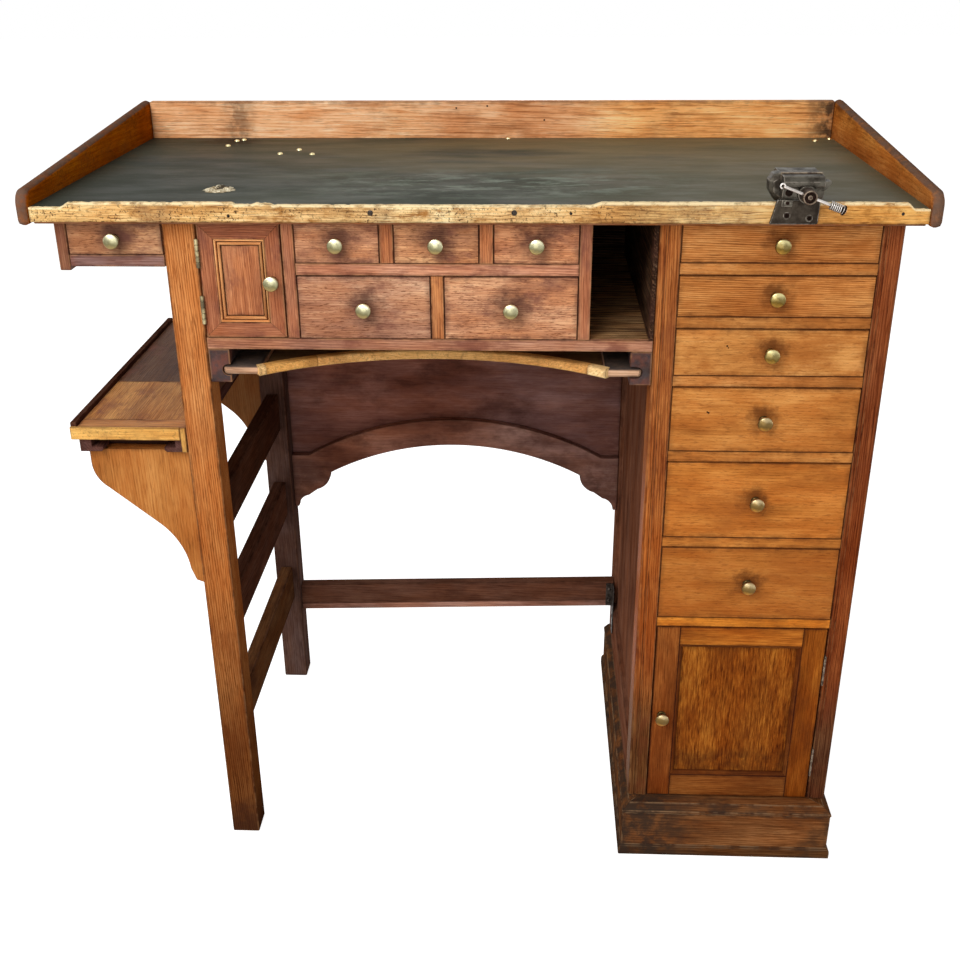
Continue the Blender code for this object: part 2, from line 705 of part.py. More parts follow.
def make_plinth(wood):
    outer_low = (pedestal_left - PLINTH_LEFT, front - PLINTH_FRONT)
    outer_high = (pedestal_right + PLINTH_RIGHT, pedestal_back)
    step = PLINTH_SHOE_STEP
    wall = PLINTH_FRONT + PLINTH_WALL
    chamfer_start = PLINTH_HEIGHT - PLINTH_CHAMFER_RISE
    rings = [(0, 0), (0, PLINTH_SHOE), (step, PLINTH_SHOE), (step, chamfer_start)]
    rings += [(step + PLINTH_CHAMFER, PLINTH_HEIGHT), (wall, PLINTH_HEIGHT), (wall, 0)]
    points = []
    for inset, z in rings:
        x0, y0 = outer_low[0] + inset, outer_low[1] + inset
        x1, y1 = outer_high[0] - inset, outer_high[1]
        if inset == wall:
            y1 -= PLINTH_WALL
        points += [(x0, y0, z), (x1, y0, z), (x1, y1, z), (x0, y1, z)]
    faces = []
    for ring in range(len(rings)):
        first = 4 * ring
        second = 4 * ((ring + 1) % len(rings))
        for corner in range(4):
            after = (corner + 1) % 4
            faces.append((first + corner, first + after, second + after, second + corner))
    add_piece("plinth", points, faces, wood, (outer_low[0], outer_low[1], 0))


def framed_points(low, high, window_low, window_high, y):
    """Corners of a rectangle and of a window in it, at one depth."""
    outer = [(low[0], y, low[1]), (high[0], y, low[1]), (high[0], y, high[1]), (low[0], y, high[1])]
    inner = [(window_low[0], y, window_low[1]), (window_high[0], y, window_low[1])]
    inner += [(window_high[0], y, window_high[1]), (window_low[0], y, window_high[1])]
    return outer, inner


def make_cupboard_door(wood, brass, steel):
    cupboard = case_columns()[0]
    axis_x = case_left - FIT + HINGE_GAP / 2
    low = (case_left - FIT + HINGE_GAP, case_floor_top + FIT + DOOR_GAP / 2)
    high = (cupboard[1] - DOOR_GAP, under_top - DRAWER_TOP_GAP)
    window_low = (low[0] + CUPBOARD_DOOR_STILE, low[1] + CUPBOARD_DOOR_RAIL)
    window_high = (high[0] - CUPBOARD_DOOR_STILE, high[1] - CUPBOARD_DOOR_RAIL)
    mould = CUPBOARD_MOULD_WIDTH
    panel_low = (window_low[0] + mould, window_low[1] + mould)
    panel_high = (window_high[0] - mould, window_high[1] - mould)
    outer, window = framed_points(low, high, window_low, window_high, front)
    back, panel = framed_points(low, high, panel_low, panel_high, front + DOOR_THICKNESS)
    panel = [(x, front + CUPBOARD_PANEL_SETBACK, z) for x, _, z in panel]
    points = outer + window + panel + back
    faces = [(8, 9, 10, 11), (12, 13, 14, 15)]
    for corner in range(4):
        after = (corner + 1) % 4
        for first, second in ((0, 4), (4, 8), (0, 12)):
            faces.append((first + corner, first + after, second + after, second + corner))
    axis_y = front - FIT - HINGE_RADIUS
    door = add_piece("cupboard_door", points, faces, wood, (axis_x, axis_y, low[1]))
    knob_z = low[1] + CUPBOARD_KNOB_HEIGHT
    carry(door, knob("cupboard_door_knob", high[0] - CUPBOARD_KNOB_INSET, knob_z, front, brass))
    length = CUPBOARD_HINGE_LENGTH
    hinge("cupboard_hinge_upper", axis_x, high[1] - CUPBOARD_HINGE_INSET - length, length, steel)
    hinge("cupboard_hinge_lower", axis_x, low[1] + CUPBOARD_HINGE_INSET, length, steel)


def make_pedestal_door(wood, brass, steel):
    door_top = pedestal_levels()[1]
    edge = pedestal_right - PEDESTAL_STILE
    axis_x = edge - HINGE_GAP / 2
    low = (pedestal_left + PEDESTAL_STILE + DOOR_GAP, PLINTH_HEIGHT + FIT + DOOR_GAP)
    high = (edge - HINGE_GAP, door_top - DRAWER_TOP_GAP)
    window_low = (low[0] + PEDESTAL_DOOR_STILE, low[1] + PEDESTAL_DOOR_BOTTOM_RAIL)
    window_high = (high[0] - PEDESTAL_DOOR_STILE, high[1] - PEDESTAL_DOOR_TOP_RAIL)
    back = front + DOOR_THICKNESS
    outer, window = framed_points(low, high, window_low, window_high, front)
    outer_back, window_back = framed_points(low, high, window_low, window_high, back)
    points = outer + window + window_back + outer_back
    faces = []
    for corner in range(4):
        after = (corner + 1) % 4
        for first, second in ((0, 4), (4, 8), (8, 12), (12, 0)):
            faces.append((first + corner, first + after, second + after, second + corner))
    axis_y = front - FIT - HINGE_RADIUS
    frame = add_piece("pedestal_door_frame", points, faces, wood, (axis_x, axis_y, low[1]))
    panel_low = (window_low[0] + FIT, front + PEDESTAL_PANEL_SETBACK, window_low[1] + FIT)
    panel_high = (window_high[0] - FIT, back, window_high[1] - FIT)
    panel = block("pedestal_door_panel", panel_low, panel_high, wood)
    knob_x = low[0] + PEDESTAL_KNOB_INSET
    pull = knob("pedestal_door_knob", knob_x, low[1] + PEDESTAL_KNOB_HEIGHT, front, brass)
    carry(frame, panel, pull)
    length = PEDESTAL_HINGE_LENGTH
    hinge("pedestal_hinge_upper", axis_x, high[1] - PEDESTAL_HINGE_INSET - length, length, steel)
    hinge("pedestal_hinge_lower", axis_x, low[1] + PEDESTAL_HINGE_INSET, length, steel)


def make_shelf(wood, dark):
    right = leg_left - FIT
    left = right - SHELF_WIDTH
    near = front - SHELF_PROUD
    far = near + SHELF_DEPTH
    runner_bottom_z = shelf_bottom - SHELF_RUNNER_HEIGHT
    ledge_top = runner_bottom_z + SHELF_LEDGE_HEIGHT
    rim_top = SHELF_TOP + SHELF_RIM_RISE
    rim = left + SHELF_RIM_WIDTH
    a0 = left + SHELF_RUNNER_INSET
    a1 = a0 + SHELF_RUNNER_WIDTH
    a2 = a1 + SHELF_LEDGE_WIDTH
    b1 = right - SHELF_RUNNER_WIDTH
    b2 = b1 - SHELF_LEDGE_WIDTH
    outline = [(left, rim_top), (left, shelf_bottom), (a0, shelf_bottom), (a0, runner_bottom_z)]
    outline += [(a2, runner_bottom_z), (a2, ledge_top), (a1, ledge_top), (a1, shelf_bottom)]
    outline += [(b1, shelf_bottom), (b1, ledge_top), (b2, ledge_top), (b2, runner_bottom_z)]
    outline += [(right, runner_bottom_z), (right, SHELF_TOP), (rim, SHELF_TOP), (rim, rim_top)]
    shelf = prism("side_shelf", outline, "y", near, far, wood)
    beside = CUT_OVERSHOOT
    shy_low = (left - beside, near - beside, runner_bottom_z - beside)
    shy_high = (right + beside, near + SHELF_RUNNER_SHY, shelf_bottom)
    cut(shelf, cutter("shelf_runner_ends", [(shy_low, shy_high)]))

    outer = right - BRACKET_REACH
    foot = bracket_top - BRACKET_HEIGHT
    lobe = (outer + BRACKET_LOBE_RADIUS, bracket_top - BRACKET_NOSE)
    outline = [(right, bracket_top), (outer, bracket_top)]
    outline += arc(lobe, BRACKET_LOBE_RADIUS, 180, 180 + BRACKET_LOBE_TURN, 6)
    toe = (right - BRACKET_TOE, foot + BRACKET_TOE_RISE)
    end_angle = 5.0
    sweep = (toe[0] - BRACKET_SWEEP_RADIUS * math.cos(math.radians(end_angle)), toe[1])
    outline += arc(sweep, BRACKET_SWEEP_RADIUS, end_angle + BRACKET_SWEEP_TURN, end_angle, 6)
    outline += [(toe[0] + BRACKET_TOE / 3, foot + BRACKET_TOE_RISE / 3), (right, foot)]
    near = front + BRACKET_SETBACK
    prism("shelf_front_bracket", outline, "y", near, near + BRACKET_THICKNESS, wood)
    near = frame_back - BRACKET_SETBACK - BRACKET_THICKNESS
    prism("shelf_rear_bracket", outline, "y", near, near + BRACKET_THICKNESS, dark)


def make_vise(iron, steel):
    plate_front = lip_front - FIT - VISE_PLATE_THICKNESS
    slab_bottom = lip_top + FIT
    slab_top = slab_bottom + VISE_SLAB
    jaw_bottom = slab_top + FIT
    jaw_top = jaw_bottom + VISE_JAW_HEIGHT
    rear_front = lip_front + VISE_PARTING
    rear_back = rear_front + VISE_REAR_REACH
    jaw_back = rear_front - FIT
    jaw_front = lip_front - VISE_JAW_OVERHANG
    screw_z = slab_top + SCREW_RISE
    plate_bottom = slab_bottom - VISE_PLATE_DROP
    x0 = vise_middle - VISE_WIDTH / 2
    x1 = vise_middle + VISE_WIDTH / 2
    outline = [(plate_front, slab_bottom), (lip_back + FIT, slab_bottom), (lip_back + FIT, WORK_HEIGHT + FIT)]
    outline += [(rear_back, WORK_HEIGHT + FIT), (rear_back, jaw_top), (rear_front, jaw_top)]
    outline += [(rear_front, slab_top), (plate_front, slab_top)]
    body = prism("vise_body", outline, "x", x0, x1, iron)
    plate_left = x0 - VISE_PLATE_REACH
    plate_right = x1 - VISE_PLATE_SHY
    plate = [(plate_left, plate_bottom), (plate_right, plate_bottom), (plate_right, slab_top)]
    plate.append((plate_left + VISE_PLATE_SPLAY, slab_top))
    combine(body, hide(prism("vise_plate", plate, "y", plate_front, lip_front - FIT, None)), "UNION")
    ear_left = x0 - VISE_EAR_REACH
    ear_bottom = jaw_top - VISE_EAR_HEIGHT
    ear = [(x0 + CUT_OVERSHOOT, ear_bottom), (x0, ear_bottom), (ear_left, ear_bottom + VISE_EAR_FOOT)]
    ear += [(ear_left, jaw_top - VISE_EAR_SHOULDER), (ear_left + VISE_EAR_SHOULDER, jaw_top)]
    ear.append((x0 + CUT_OVERSHOOT, jaw_top))
    ear_front = rear_front + VISE_EAR_SETBACK
    ear_back = ear_front + VISE_EAR_THICKNESS
    combine(body, hide(prism("vise_ear", ear, "y", ear_front, ear_back, None)), "UNION")

    jaw = block("vise_jaw", (x0, jaw_front, jaw_bottom), (x1, jaw_back, jaw_top), iron)
    bore_radius = SCREW_RADIUS + SCREW_GAP
    start = jaw_front - CUT_OVERSHOOT
    bore_end = jaw_back + SCREW_REACH + CUT_OVERSHOOT / 2
    bore_profile = [(0, 0), (bore_radius, 0), (bore_radius, bore_end - start), (0, bore_end - start)]
    facing_back = (math.radians(-90), 0, 0)
    bore = hide(turned("vise_bore", bore_profile, SCREW_SIDES, None, (screw_x, start, screw_z), facing_back))
    cut(jaw, bore)
    cut(body, bore)

    head_back = jaw_front - FIT
    head_middle = head_back - SCREW_HEAD_LENGTH / 2
    tip = jaw_back + SCREW_REACH
    below = head_middle - tip
    head = SCREW_HEAD_LENGTH / 2
    profile = [(0, below), (SCREW_RADIUS, below), (SCREW_RADIUS, -head), (SCREW_HEAD_RADIUS, -head)]
    profile += [(SCREW_HEAD_RADIUS, head), (SCREW_DIMPLE_RADIUS, head)]
    profile += [(SCREW_DIMPLE_RADIUS, head - SCREW_DIMPLE), (0, head - SCREW_DIMPLE)]
    axle = (screw_x, head_middle, screw_z)
    screw = turned("vise_screw", profile, SCREW_SIDES, iron, axle, FACING_FRONT)
    along_handle = (0, math.radians(90 + HANDLE_TILT), 0)
    eye = HANDLE_RADIUS + SCREW_GAP
    reach = SCREW_HEAD_RADIUS + CUT_OVERSHOOT
    eye_profile = [(0, -reach), (eye, -reach), (eye, reach), (0, reach)]
    cut(screw, hide(turned("vise_handle_eye", eye_profile, HANDLE_SIDES, None, axle, along_handle)))

    ball = arc((0, -HANDLE_LEFT), HANDLE_BALL_RADIUS, -90, 50, 6)
    collar = HANDLE_RIGHT - HANDLE_COLLAR
    profile = [(0, ball[0][1])] + ball[1:] + [(HANDLE_RADIUS, ball[-1][1]), (HANDLE_RADIUS, collar)]
    profile += [(HANDLE_COLLAR_RADIUS, collar), (HANDLE_COLLAR_RADIUS, HANDLE_RIGHT - HANDLE_COLLAR / 3)]
    profile += [(HANDLE_COLLAR_RADIUS * 0.7, HANDLE_RIGHT), (0, HANDLE_RIGHT)]
    handle = turned("vise_handle", profile, HANDLE_SIDES, steel, axle, along_handle)
    spring = make_spring(collar, steel, axle, along_handle)

    screw_axis = bpy.data.objects.new("vise_screw_axis", None)
    screw_axis.location = axle
    bpy.context.scene.collection.objects.link(screw_axis)
    carry(screw_axis, jaw, screw, handle, spring)


def make_spring(seat, steel, origin, rotation):
    """A coil round the handle, seated against its collar, as one unbroken tube."""
    count = SPRING_TURNS * SPRING_POINTS_PER_TURN
    last = seat - FIT - SPRING_WIRE / 2
    first = last - SPRING_TURNS * SPRING_PITCH
    helix = []
    for step in range(count + 1):
        angle = 2 * math.pi * step / SPRING_POINTS_PER_TURN
        height = first + (last - first) * step / count
        helix.append(Vector((SPRING_RADIUS * math.cos(angle), SPRING_RADIUS * math.sin(angle), height)))
    lead = Vector((0, -SPRING_WIRE, 0))
    path = [helix[0] + lead] + helix + [helix[-1] - lead]
    skip = SPRING_POINTS_PER_TURN // 2
    gaps = [
        (path[a] - path[b]).length - SPRING_WIRE
        for a in range(len(path)) for b in range(a + skip, len(path))
    ]
    print("vise_handle_spring least gap to itself, mm:", round(min(gaps) * 1000, 2))

    curve = bpy.data.curves.new("vise_handle_spring", "CURVE")
    curve.dimensions = "3D"
    curve.bevel_depth = SPRING_WIRE / 2
    curve.bevel_resolution = 1
    curve.use_fill_caps = True
    spline = curve.splines.new("POLY")
    spline.points.add(len(path) - 1)
    for point, place in zip(spline.points, path):
        point.co = (*place, 1)
    curve.materials.append(steel)
    spring = bpy.data.objects.new("vise_handle_spring", curve)
    spring.location = origin
    spring.rotation_euler = rotation
    bpy.context.scene.collection.objects.link(spring)
    return spring


def main():
    clear_scene()
    oak = finish("orange_oak", (0.36, 0.13, 0.035), 0.45)
    gallery = finish("golden_pine", (0.45, 0.20, 0.06), 0.45)
    dark = finish("dark_oak", (0.075, 0.032, 0.022), 0.5)
    case_wood = finish("red_brown_wood", (0.27, 0.10, 0.04), 0.45)
    honey = finish("honey_drawer_wood", (0.42, 0.18, 0.045), 0.42)
    pink = finish("pink_brown_drawer_wood", (0.36, 0.16, 0.075), 0.45)
    pale = finish("pale_bare_wood", (0.55, 0.33, 0.11), 0.55)
    lino = finish("grey_green_linoleum", (0.075, 0.073, 0.052), 0.38)
    brass = finish("satin_brass", (0.62, 0.50, 0.22), 0.32, 1.0)
    steel = finish("bright_steel", (0.62, 0.60, 0.57), 0.3, 1.0)
    iron = finish("dark_iron", (0.06, 0.057, 0.055), 0.45, 0.8)
    make_top(gallery, pale, lino)
    make_legs(oak, dark)
    make_back(dark)
    make_case(case_wood, pink, brass)
    make_tray(pale)
    make_outer_drawer(case_wood, pink, brass)
    make_pedestal(case_wood, honey, brass)
    make_plinth(dark)
    make_cupboard_door(oak, brass, steel)
    make_pedestal_door(oak, brass, steel)
    make_shelf(pale, oak)
    make_vise(iron, steel)


main()
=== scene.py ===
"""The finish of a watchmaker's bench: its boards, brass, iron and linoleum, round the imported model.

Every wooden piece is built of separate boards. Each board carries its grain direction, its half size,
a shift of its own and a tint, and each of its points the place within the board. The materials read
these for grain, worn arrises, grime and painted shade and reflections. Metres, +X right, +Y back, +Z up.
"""

import math
import random
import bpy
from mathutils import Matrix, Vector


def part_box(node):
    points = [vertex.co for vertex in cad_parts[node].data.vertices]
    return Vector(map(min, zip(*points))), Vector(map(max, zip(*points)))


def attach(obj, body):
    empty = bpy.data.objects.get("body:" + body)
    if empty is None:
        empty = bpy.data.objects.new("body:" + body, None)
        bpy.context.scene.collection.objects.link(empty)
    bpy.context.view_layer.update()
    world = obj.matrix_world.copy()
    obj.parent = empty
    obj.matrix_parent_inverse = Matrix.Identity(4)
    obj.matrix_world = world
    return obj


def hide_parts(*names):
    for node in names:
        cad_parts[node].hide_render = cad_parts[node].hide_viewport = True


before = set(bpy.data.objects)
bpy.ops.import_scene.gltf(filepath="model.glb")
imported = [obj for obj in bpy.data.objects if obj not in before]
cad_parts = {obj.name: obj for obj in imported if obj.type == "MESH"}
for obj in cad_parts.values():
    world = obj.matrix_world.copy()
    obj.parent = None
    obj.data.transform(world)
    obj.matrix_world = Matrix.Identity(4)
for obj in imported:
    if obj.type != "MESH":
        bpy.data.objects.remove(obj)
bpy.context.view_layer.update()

import zlib

import bmesh
import bpy
from mathutils import Matrix, Vector, noise

# Sizes shared with the solids
FIT = 0.0003
SIDE_GAP = 0.0008
BOARD = 0.015
RAIL_DEPTH = 0.030
DOOR_DEPTH = 0.0143

# Roundings of edges, from the sharpest to a worn arris
HAIRLINE = 0.0003
FINE = 0.0004
NEAT = 0.0005
CRISP = 0.0008
EASED = 0.0010
ARRIS = 0.0012
SHARP_ANGLE = math.radians(25)
SMOOTH_ANGLE = math.radians(50)

# Directions and the plain tint
AXES = {"x": Vector((1, 0, 0)), "y": Vector((0, 1, 0)), "z": Vector((0, 0, 1))}
TOWARDS = (0, -1, 0)
AWAY = (0, 1, 0)
UP = (0, 0, 1)
PLAIN = (1, 1, 1)


# Nodes of the materials

class Nodes:
    """Adds shader nodes to a material or world. Each method returns the new node's result."""

    def __init__(self, owner, shader="Principled BSDF"):
        owner.use_nodes = True
        self.owner = owner
        self.tree = owner.node_tree
        self.shader = self.tree.nodes[shader]

    def link(self, socket, value):
        if isinstance(value, bpy.types.NodeSocket):
            self.tree.links.new(value, socket)
        else:
            socket.default_value = value

    def node(self, kind, inputs, **settings):
        made = self.tree.nodes.new("ShaderNode" + kind)
        for key, value in settings.items():
            setattr(made, key, value)
        for key, value in inputs.items():
            self.link(made.inputs[key], value)
        return made

    def place(self, output="Object"):
        return self.node("TexCoord", {}).outputs[output]

    def attribute(self, name):
        return self.node("Attribute", {}, attribute_name=name).outputs["Vector"]

    def math(self, operation, first, second=0.0, third=0.0):
        return self.node("Math", {0: first, 1: second, 2: third}, operation=operation).outputs[0]

    def times(self, first, second):
        return self.math("MULTIPLY", first, second)

    def plus(self, first, second):
        return self.math("ADD", first, second)

    def scaled_plus(self, value, factor, addend):
        return self.math("MULTIPLY_ADD", value, factor, addend)

    def swing(self, value, gain):
        """A noise value, scaled and centred on zero."""
        return self.scaled_plus(value, gain, -0.5 * gain)

    def away(self, value, centre):
        return self.math("ABSOLUTE", self.math("SUBTRACT", value, centre))

    def vector(self, operation, first, second=(0, 0, 0)):
        made = self.node("VectorMath", {0: first, 1: second}, operation=operation)
        return made.outputs["Value" if operation in ("DOT_PRODUCT", "LENGTH") else "Vector"]

    def scaled(self, vector, factor):
        return self.node("VectorMath", {0: vector, "Scale": factor}, operation="SCALE").outputs["Vector"]

    def split(self, vector):
        return self.node("SeparateXYZ", {0: vector}).outputs

    def noise(self, vector, scale, detail=2.0, roughness=0.5):
        inputs = {"Vector": vector, "Scale": scale, "Detail": detail, "Roughness": roughness}
        return self.node("TexNoise", inputs).outputs[0]

    def smooth(self, value, start, end, low=0.0, high=1.0):
        """Goes smoothly from low to high as the value goes from start to end."""
        if start > end:
            start, end, low, high = end, start, high, low
        inputs = {"Value": value, "From Min": start, "From Max": end, "To Min": low, "To Max": high}
        return self.node("MapRange", inputs, interpolation_type="SMOOTHSTEP").outputs[0]

    def mix(self, factor, first, second, blend="MIX"):
        first = (*first, 1) if isinstance(first, tuple) else first
        second = (*second, 1) if isinstance(second, tuple) else second
        inputs = {0: factor, 6: first, 7: second}
        return self.node("Mix", inputs, data_type="RGBA", blend_type=blend).outputs[2]

    def ramp(self, value, *stops):
        made = self.node("ValToRGB", {0: value})
        elements = made.color_ramp.elements
        while len(elements) < len(stops):
            elements.new(0.5)
        for element, (position, colour) in zip(elements, stops):
            element.position = position
            element.color = (*colour, 1)
        return made.outputs[0]

    def bump(self, height, strength, distance):
        inputs = {"Height": height, "Strength": strength, "Distance": distance}
        return self.node("Bump", inputs).outputs[0]

    def seen(self):
        """1 for the rays that show the background: from the camera, a glossy surface or glass."""
        path = self.node("LightPath", {}).outputs
        reflected = self.math("MAXIMUM", path["Is Glossy Ray"], path["Is Transmission Ray"])
        return self.math("MAXIMUM", path["Is Camera Ray"], reflected)

    def finish(self, colour, roughness, normal, specular=0.25, metallic=0.0):
        inputs = {"Base Color": colour, "Roughness": roughness, "Normal": normal}
        inputs.update({"Specular IOR Level": specular, "Metallic": metallic})
        for key, value in inputs.items():
            self.link(self.shader.inputs[key], value)
        return self.owner


def arris_distance(n):
    """Distance to the nearest edge of the board's face, for points on that face."""
    half = n.attribute("half")
    room = n.split(n.vector("SUBTRACT", half, n.vector("ABSOLUTE", n.attribute("place"))))
    facing = n.split(n.vector("ABSOLUTE", n.place("Normal")))
    least = None
    for axis in range(3):
        own_face = n.math("GREATER_THAN", facing[axis], 0.9)
        distance = n.plus(room[axis], own_face)
        least = distance if least is None else n.math("MINIMUM", least, distance)
    return least


RING_DIRECTION = (0.58, 0.62, 0.53)
PORE_SHADE = (0.34, 0.25, 0.22)
FOOT_SHADE = (0.26, 0.23, 0.22)
# Near black at every board's edges: dark joints, partly painted shadow in the gaps between boards
JOINT_AND_GAP_SHADOW_COLOUR = (0.026, 0.005, 0.004)
RED_DRIFT = (0.90, 0.76, 0.64)
GOLD_DRIFT = (1.09, 1.22, 1.36)
THIN_FRONT = 0.0085


def wood(name, dark, mid, light, rings=420, wave=4, ring_depth=0.4, streak=0.6, fibre=0.6, pores=0.5,
         cloud=1.3, stain=(0.10, 0.04, 0.03), stain_amount=0.5, stain_scale=14, grime=0.6,
         grime_width=0.010, grime_colour=(0.03, 0.012, 0.008), seam_and_gap_shadow=0.55, wear=None, wear_amount=0.6,
         wear_width=0.003, halo=0.0, halo_reach=0.028, foot=0.0, specks=0.0, length=1.0, tick=0.05,
         line=0.30, weathering_and_shade=None, weather_least=0.6, crest=None, dark_bands=(), dark_band_colour=None,
         washes_and_painted_light=(), drift=0.6, speck_end=9.0, rough=0.45, specular=0.045):
    """A wood with growth rings, streaks, pores, stains, grime towards its edges and worn arrises. It can
    also paint shade and light: dark joint lines, a darker foot, washes along an axis and dark upward faces.
    """
    n = Nodes(bpy.data.materials.new(name))
    spot = n.place()
    grain = n.attribute("grain")
    along = n.vector("DOT_PRODUCT", spot, grain)
    moved = n.vector("ADD", spot, n.attribute("shift"))

    def stretched(keep):
        return n.vector("SUBTRACT", moved, n.scaled(grain, n.times(along, 1 - keep)))

    # Grain
    slow = stretched(0.02)
    run = n.times(n.vector("DOT_PRODUCT", slow, RING_DIRECTION), rings)
    sway = n.times(n.noise(slow, 45, 3), wave)
    ripple = n.times(n.noise(stretched(0.12), 90, 2), 1.4)
    late = n.smooth(n.math("FRACT", n.plus(n.plus(run, sway), ripple)), line, 0.97)
    threads = n.noise(stretched(0.02), 1300, 3, 0.6)
    pore = n.smooth(n.noise(stretched(tick), 800, 2, 0.6), 0.56, 0.66)
    tone = n.scaled_plus(late, -ring_depth, 0.5 + ring_depth * (0.62 - 0.55 * line))
    tone = n.plus(tone, n.swing(n.noise(stretched(0.03 / length), 430, 4, 0.65), streak))
    tone = n.plus(tone, n.swing(threads, fibre))
    tone = n.plus(tone, n.swing(n.noise(stretched(0.25), 26, 5, 0.65), cloud))
    colour = n.ramp(tone, (0.0, dark), (0.5, mid), (1.0, light))

    # Tint of the board, drifts of colour, washes (some painting light and shade along an axis), pores and
    # stains
    colour = n.mix(1.0, colour, n.attribute("tint"), "MULTIPLY")
    warmth = n.smooth(n.noise(stretched(0.3), 36, 4, 0.62), 0.34, 0.66)
    colour = n.mix(drift, colour, n.mix(warmth, RED_DRIFT, GOLD_DRIFT), "MULTIPLY")
    for axis, centre, reach, wash_and_light_tint in washes_and_painted_light:
        away = n.away(n.split(spot)["xyz".index(axis)], centre)
        colour = n.mix(n.smooth(away, reach, reach * 0.4), colour, wash_and_light_tint, "MULTIPLY")
    colour = n.mix(n.times(pore, pores), colour, PORE_SHADE, "MULTIPLY")
    patches = n.noise(stretched(0.6), stain_scale, 5, 0.68)
    colour = n.mix(n.smooth(patches, 0.48, 0.70, 0, stain_amount), colour, stain)
    # Darker bands round a given place along an axis
    for axis, centre, reach, amount in dark_bands:
        away = n.away(n.split(spot)["xyz".index(axis)], centre)
        near = n.smooth(away, reach, reach * 0.15, 0, amount)
        uneven = n.smooth(n.noise(moved, 48, 4, 0.65), 0.36, 0.58, 0.35, 1.0)
        colour = n.mix(n.times(near, uneven), colour, dark_band_colour or grime_colour)

    # Grime at the edges and round a knob; towards the foot, painted shade for the fall of light, with grime
    # at the very foot
    edge = arris_distance(n)
    ragged = n.noise(moved, 55, 3, 0.6)
    dirt = n.times(n.smooth(edge, grime_width, 0), n.smooth(ragged, 0.30, 0.70, 0, grime))
    if halo:
        radius = n.vector("LENGTH", n.vector("MULTIPLY", n.attribute("place"), (1, 0, 1)))
        facing = n.math("LESS_THAN", n.split(n.place("Normal"))[1], -0.9)
        thin = n.math("LESS_THAN", n.split(n.attribute("half"))[1], THIN_FRONT)
        wobble = n.swing(n.noise(moved, 60, 4, 0.65), 0.05)
        ring = n.smooth(n.plus(radius, wobble), halo_reach, 0.007, 0, halo)
        lift = n.smooth(n.split(n.attribute("place"))[2], -0.012, 0.012, 0.7, 1.0)
        dirt = n.math("MAXIMUM", dirt, n.times(n.times(ring, lift), n.times(facing, thin)))
    # Painted shade: the colour darkens towards the floor, where less light falls
    if foot:
        painted_light_level = n.scaled_plus(ragged, 0.06, n.split(spot)[2])
        colour = n.mix(n.smooth(painted_light_level, 0.60, 0.09, 0, foot), colour, FOOT_SHADE, "MULTIPLY")
        dirt = n.math("MAXIMUM", dirt, n.smooth(painted_light_level, 0.105, 0.045, 0, 0.7))
    colour = n.mix(dirt, colour, grime_colour)

    # Weathering on faces that face up or forward (painted shade on the battens), dark joint lines partly
    # painting the shadow in gaps, specks and wear
    if weathering_and_shade:
        weathering_and_shade_colour, upper, forward = weathering_and_shade
        side = n.split(n.place("Normal"))
        above = n.smooth(side[2], 0.25, 0.70, 0, upper)
        bare = n.math("MAXIMUM", above, n.smooth(side[1], -0.30, -0.75, 0, forward))
        uneven = n.smooth(n.noise(moved, 60, 5, 0.7), 0.34, 0.60, weather_least, 1.0)
        colour = n.mix(n.times(bare, uneven), colour, weathering_and_shade_colour)
    colour = n.mix(n.smooth(edge, 0.0012, 0.0003, 0, seam_and_gap_shadow), colour, JOINT_AND_GAP_SHADOW_COLOUR)
    if specks:
        dots = n.smooth(n.noise(moved, 230, 2, 0.55), 0.57, 0.65, 0, specks)
        dots = n.math("MAXIMUM", dots, n.smooth(n.noise(moved, 560, 2, 0.55), 0.60, 0.67, 0, specks))
        where = n.smooth(n.noise(moved, 24, 2), 0.40, 0.60, 0.4, 1.0)
        where = n.times(where, n.smooth(n.split(spot)[0], speck_end, speck_end - 0.25, 0.1, 1.0))
        colour = n.mix(n.times(dots, where), colour, grime_colour)
    if wear:
        rub = n.smooth(n.noise(moved, 34, 3, 0.65), 0.38, 0.60, 0, wear_amount)
        colour = n.mix(n.times(n.smooth(edge, wear_width, 0.0003), rub), colour, wear)
    if crest:
        depth = n.math("SUBTRACT", n.split(n.attribute("half"))[2], n.split(n.attribute("place"))[2])
        rub = n.smooth(n.noise(moved, 70, 4, 0.7), 0.36, 0.56, 0.15, 0.9)
        colour = n.mix(n.times(n.smooth(depth, 0.0046, 0.0012), rub), colour, crest)

    height = n.scaled_plus(pore, -0.7, n.scaled_plus(late, 0.25, threads))
    height = n.scaled_plus(n.noise(moved, 90, 3, 0.55), 1.0, height)
    roughness = n.scaled_plus(dirt, 0.15, n.scaled_plus(threads, 0.22, rough - 0.11))
    return n.finish(colour, roughness, n.bump(height, 0.3, 0.0012), specular)


